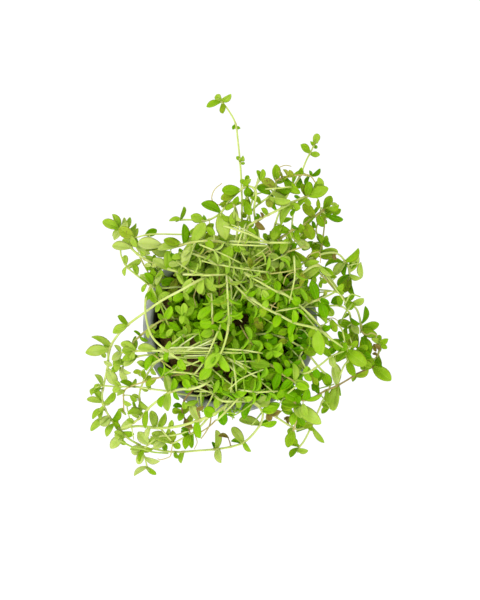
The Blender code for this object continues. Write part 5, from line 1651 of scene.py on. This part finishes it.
def build_low_shoots(paints, crowd):
    """The crowd of short shoots between the long ones, in a few pieces."""
    chance = random.Random("low shoots")
    groups = [Foliage() for _ in range(LOW_PIECES)]
    for k in range(RIM_SHOOTS):
        way = (RIM_SHOOT_ARC[1] - RIM_SHOOT_ARC[0]) * (k + chance.random()) / RIM_SHOOTS
        angle = RIM_SHOOT_ARC[0] + way
        radius = chance.uniform(*RIM_SHOOT_ROOTS)
        low_shoot(groups[k % LOW_PIECES], crowd, radius * math.cos(angle), radius * math.sin(angle),
                  chance.uniform(*RIM_SHOOT_HEIGHTS), chance.uniform(*RIM_SHOOT_LEAN), chance)
    for k in range(LOW_SHOOTS):
        radius = LOW_SPREAD * math.sqrt((k + 0.5) / LOW_SHOOTS)
        angle = GOLDEN_ANGLE * k
        x = radius * math.cos(angle) + chance.uniform(-LOW_SHIFT, LOW_SHIFT)
        y = radius * math.sin(angle) + chance.uniform(-LOW_SHIFT, LOW_SHIFT)
        low_shoot(groups[k % LOW_PIECES], crowd, x, y, chance.uniform(*LOW_HEIGHTS),
                  chance.uniform(*LOW_LEAN), chance)
    for k, foliage in enumerate(groups):
        piece = foliage.piece(f"low_shoots_{k + 1}", paints)
        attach(piece, "root")


def turned(name, profile, steps):
    """A solid of revolution as a mesh; the profile of (radius, height) runs down its outer side."""
    form = bmesh.new()
    rings = []
    for radius, height in profile:
        if radius == 0.0:
            rings.append([form.verts.new((0.0, 0.0, height * MM))] * steps)
            continue
        ring = []
        for k in range(steps):
            turn = 2 * math.pi * k / steps
            x, y = radius * MM * math.cos(turn), radius * MM * math.sin(turn)
            ring.append(form.verts.new((x, y, height * MM)))
        rings.append(ring)
    for upper, lower in zip(rings, rings[1:]):
        for k in range(steps):
            n = (k + 1) % steps
            corners = []
            for corner in (upper[k], lower[k], lower[n], upper[n]):
                if corner not in corners:
                    corners.append(corner)
            form.faces.new(corners)
    mesh = bpy.data.meshes.new(name)
    form.to_mesh(mesh)
    form.free()
    return mesh


def wall_radius(height):
    """Outer radius of the pot's tapered wall."""
    top_radius = RIM_DIAMETER / 2 - LIP_WIDTH + WALL_THICKNESS - 2 * ROUNDING
    return BASE_RADIUS + (top_radius - BASE_RADIUS) * height / POT_HEIGHT


def inner_radius(height):
    return wall_radius(height) - WALL_THICKNESS


def rounded(corner, before, after, radius):
    """Points that round one corner of a profile."""
    corner, before, after = (np.array(p, float) for p in (corner, before, after))
    start = corner + (before - corner) / np.linalg.norm(before - corner) * radius
    end = corner + (after - corner) / np.linalg.norm(after - corner) * radius
    points = []
    for k in range(CORNER_STEPS + 1):
        t = k / CORNER_STEPS
        points.append(tuple((1 - t) ** 2 * start + 2 * t * (1 - t) * corner + t ** 2 * end))
    return points


def round_profile(corners):
    """The profile with each corner rounded by the radius given after its place."""
    points = []
    for k, (radius, height, rounding) in enumerate(corners):
        if rounding == 0 or k in (0, len(corners) - 1):
            points.append((radius, height))
        else:
            points += rounded((radius, height), corners[k - 1][:2], corners[k + 1][:2], rounding)
    return points


def slot_cutter():
    """Round-ended bars for the slots in the pot's lower wall and its floor."""
    form = bmesh.new()
    for k in range(SLOT_COUNT):
        turn = Matrix.Rotation(2 * math.pi * k / SLOT_COUNT, 4, "Z")
        middle = (wall_radius(SLOT_BOTTOM) + wall_radius(SLOT_TOP)) / 2 * MM
        add_slot_bar(form, turn @ Matrix.Translation((middle, 0.0, (SLOT_BOTTOM + SLOT_TOP) / 2 * MM)),
                     SLOT_TOP - SLOT_BOTTOM)
    for k in range(BASE_SLOT_COUNT):
        turn = Matrix.Rotation(2 * math.pi * (k + 0.5) / BASE_SLOT_COUNT, 4, "Z")
        lay = Matrix.Rotation(math.pi / 2, 4, "Y")
        place = Matrix.Translation(((BASE_SLOT_INNER + BASE_SLOT_OUTER) / 2 * MM, 0.0, 0.0))
        add_slot_bar(form, turn @ place @ lay, BASE_SLOT_OUTER - BASE_SLOT_INNER)
    mesh = bpy.data.meshes.new("slot_cutter")
    form.to_mesh(mesh)
    form.free()
    return mesh


def add_slot_bar(form, place, length):
    """A bar along Z with half-round ends, cutting through along X."""
    radius = SLOT_WIDTH / 2
    outline = []
    for k in range(CUTTER_STEPS + 1):
        turn = math.pi * k / CUTTER_STEPS
        outline.append((radius * math.cos(turn), length / 2 - radius + radius * math.sin(turn)))
    outline += [(-a, -b) for a, b in outline]
    back, front = [[form.verts.new(place @ (Vector((x, a, b)) * MM)) for a, b in outline]
                   for x in (-CUTTER_DEPTH / 2, CUTTER_DEPTH / 2)]
    form.faces.new(list(reversed(back)))
    form.faces.new(front)
    for k in range(len(outline)):
        n = (k + 1) % len(outline)
        form.faces.new((back[k], back[n], front[n], front[k]))


def inner_shade(spot):
    """1 on the pot's inside, where shade is painted near black, and 0 on its lip and outside."""
    away = math.hypot(spot.x, spot.y)
    inside = away < wall_radius(spot.z) - WALL_THICKNESS / 2 and spot.z > FLOOR_THICKNESS / 2
    return 1.0 if inside and spot.z < POT_HEIGHT - UNSHADED_LIP else 0.0


def build_pot(paint):
    """The moulded pot: rolled lip with its skirt, tapered slotted wall and floor."""
    rim = RIM_DIAMETER / 2
    lip_inner = rim - LIP_WIDTH
    skirt = POT_HEIGHT - LIP_SKIRT
    under_lip = POT_HEIGHT - WALL_THICKNESS
    # Each corner's radius and height, and the radius that rounds it
    corners = [
        (0.0, FLOOR_THICKNESS, 0),
        (inner_radius(FLOOR_THICKNESS), FLOOR_THICKNESS, 0.8),
        (inner_radius(under_lip), under_lip, 0.3),
        (lip_inner, POT_HEIGHT, 0.55),
        (rim, POT_HEIGHT, 0.75),
        (rim, skirt, 0.3),
        (rim - 2 * ROUNDING, skirt, 0.25),
        (rim - 2 * ROUNDING, under_lip, 0.3),
        (wall_radius(under_lip), under_lip, 0.2),
        (BASE_RADIUS, 0.0, 0.5),
        (0.0, 0.0, 0),
    ]
    mesh = turned("pot_moulded", round_profile(corners), POT_STEPS)
    pot = link_piece("pot_moulded", mesh, [paint])
    cutter = bpy.data.objects.new("slot_cutter", slot_cutter())
    bpy.context.scene.collection.objects.link(cutter)
    cut = pot.modifiers.new("slots", "BOOLEAN")
    cut.operation = "DIFFERENCE"
    cut.solver = "EXACT"
    cut.object = cutter
    bpy.context.view_layer.update()
    done = bpy.data.meshes.new_from_object(pot.evaluated_get(bpy.context.evaluated_depsgraph_get()))
    pot.modifiers.clear()
    pot.data = done
    bpy.data.objects.remove(cutter)
    done.shade_smooth()
    done.set_sharp_from_angle(angle=SHARP_EDGE)
    # Where the painted shade of the pot's inside lies
    stain = done.attributes.new("stain", "FLOAT", "POINT")
    stain.data.foreach_set("value", [inner_shade(vertex.co / MM) for vertex in done.vertices])
    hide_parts("pot")
    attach(pot, "root")


def wool_height(x, y):
    """Top of the wool at a place, in millimetres: large and small lumps, and a drop at the edge."""
    lumps = 0.5 * math.sin(x * 0.61 + 1.3) * math.cos(y * 0.53) + 0.3 * math.sin(x * 1.7 + y * 1.1)
    lumps += 0.18 * math.sin(x * 3.9 - y * 2.7) * math.cos(y * 4.3)
    away = math.hypot(x, y) / inner_radius(PLUG_TOP)
    drop = PLUG_EDGE_DROP * max(0.0, away - EDGE_FROM) * EDGE_SLOPE
    return PLUG_TOP - WOOL_SINK + lumps * LUMP_HEIGHT - drop


def build_wool(paint):
    """The lumpy plug, and the loose fibres and crumbs on its top."""
    edge = PLUG_TOP - PLUG_EDGE_DROP
    foot = FLOOR_THICKNESS + FIT_GAP
    reach = inner_radius(edge) - FIT_GAP
    tops = [(reach * k / TOP_RINGS, PLUG_TOP) for k in range(TOP_RINGS)]
    sides = []
    for k in range(SIDE_RINGS):
        height = edge * (1 - k / SIDE_RINGS) + foot * k / SIDE_RINGS
        sides.append((inner_radius(height) - FIT_GAP, height))
    profile = tops + sides + [(inner_radius(foot) - FIT_GAP, foot), (0.0, foot)]
    mesh = turned("growing_wool_plug", profile, WOOL_STEPS)
    chance = random.Random("wool")
    for vertex in mesh.vertices:
        x, y, z = (c / MM for c in vertex.co)
        if z > edge + EDGE_MARGIN:
            vertex.co.z = (wool_height(x, y) + chance.uniform(-WOOL_ROUGHNESS, WOOL_ROUGHNESS)) * MM
        elif z > foot + EDGE_MARGIN:
            shrink = 1 - chance.uniform(0.0, SIDE_ROUGHNESS)
            vertex.co.x *= shrink
            vertex.co.y *= shrink
    mesh.shade_smooth()
    plug = link_piece("growing_wool_plug", mesh, [paint])
    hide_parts("growing_wool")
    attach(plug, "root")
    build_wool_crumbs(paint, chance, reach)


def build_wool_crumbs(paint, chance, reach):
    """Loose fibres that wind over the wool, and crumbs that stand out of it."""
    foliage = Foliage()
    for _ in range(WOOL_FIBRES):
        radius = (reach - LOOSE_MARGIN) * math.sqrt(chance.random())
        angle = chance.uniform(0, 2 * math.pi)
        x, y = radius * math.cos(angle), radius * math.sin(angle)
        heading = chance.uniform(0, 2 * math.pi)
        points = []
        for _ in range(FIBRE_POINTS):
            heading += chance.uniform(-FIBRE_BEND, FIBRE_BEND)
            away = math.hypot(x, y)
            if away > reach - FIBRE_MARGIN:
                x, y = x * (reach - FIBRE_RETURN) / away, y * (reach - FIBRE_RETURN) / away
            points.append(np.array([x, y, wool_height(x, y) + chance.uniform(0.0, FIBRE_RISE)]))
            x += math.cos(heading) * FIBRE_STEP
            y += math.sin(heading) * FIBRE_STEP
        line = np.array(points)
        add_stem(foliage, line, [chance.uniform(*FIBRE_RADII)] * len(line), "b", sides=FIBRE_SIDES)
    for _ in range(WOOL_CRUMBS):
        radius = (reach - LOOSE_MARGIN) * math.sqrt(chance.random())
        angle = chance.uniform(0, 2 * math.pi)
        x, y = radius * math.cos(angle), radius * math.sin(angle)
        size = chance.uniform(*CRUMB_SIZES)
        low = wool_height(x, y)
        line = np.array([[x, y, low - CRUMB_SINK],
                         [x + size * CRUMB_LEAN, y, low + size * CRUMB_HEIGHTS[0]],
                         [x, y + size * CRUMB_LEAN, low + size * CRUMB_HEIGHTS[1]]])
        add_stem(foliage, line, [size * share for share in CRUMB_RADII], "b", sides=CRUMB_SIDES)
    piece = foliage.piece("wool_crumbs", [paint, paint])
    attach(piece, "root")


def build_floor():
    """The wide plain floor that the pot stands on."""
    mesh = bpy.data.meshes.new("pale_floor")
    half, low = FLOOR_HALF, -FLOOR_DROP
    corners = [(-half, -half, low), (half, -half, low), (half, half, low), (-half, half, low)]
    mesh.from_pydata(corners, [], [(0, 1, 2, 3)])
    link_piece("pale_floor", mesh, [floor_paint()])


def place_camera():
    """Straight above, with the photograph's frame at the height of the rim."""
    data = bpy.data.cameras.new("overhead_camera")
    data.sensor_fit = "VERTICAL"
    data.sensor_height = SENSOR_HEIGHT
    frame_height = PHOTO_SIZE_PX[1] * MM_PER_PX
    data.lens = SENSOR_HEIGHT * (CAMERA_HEIGHT - POT_HEIGHT) / frame_height
    data.clip_end = CAMERA_RANGE
    camera = bpy.data.objects.new("overhead_camera", data)
    x, y = plan_mm(PHOTO_SIZE_PX[0] / 2, PHOTO_SIZE_PX[1] / 2)
    camera.location = (x * MM, y * MM, CAMERA_HEIGHT * MM)
    bpy.context.scene.collection.objects.link(camera)
    bpy.context.scene.camera = camera


def place_softbox(name, place, size, power):
    """An area light aimed at the plant."""
    data = bpy.data.lights.new(name, "AREA")
    data.shape = "DISK"
    data.size = size
    data.energy = power
    light = bpy.data.objects.new(name, data)
    light.location = place
    aim = Vector((0.0, 0.0, POT_HEIGHT * MM)) - Vector(place)
    light.rotation_euler = aim.to_track_quat("-Z", "Y").to_euler()
    light.visible_camera = False
    bpy.context.scene.collection.objects.link(light)


def place_lights():
    """A bright white tent, a soft key light from the upper left and a fill light from the front."""
    world = bpy.data.worlds.new("white_tent")
    bpy.context.scene.world = world
    world.use_nodes = True
    background = world.node_tree.nodes["Background"]
    background.inputs["Color"].default_value = (1.0, 1.0, 1.0, 1.0)
    background.inputs["Strength"].default_value = 0.8
    place_softbox("key_softbox", place=(-0.7, 0.35, 1.1), size=0.6, power=6.4)
    place_softbox("fill_softbox", place=(0.1, -0.85, 0.8), size=0.8, power=4.6)
    bpy.context.scene.view_settings.view_transform = "Standard"


def build():
    """Every piece of the plant, from the pot up, and what stands round it."""
    foliage_paints = [leaf_paint(), stem_paint()]
    crowd = Crowd()
    build_pot(plastic_paint())
    build_wool(wool_paint())
    build_shoots(foliage_paints, crowd)
    build_fine_stems(foliage_paints, crowd)
    build_loose_bits(foliage_paints, crowd)
    build_low_shoots(foliage_paints, crowd)
    build_floor()
    place_camera()
    place_lights()


build()
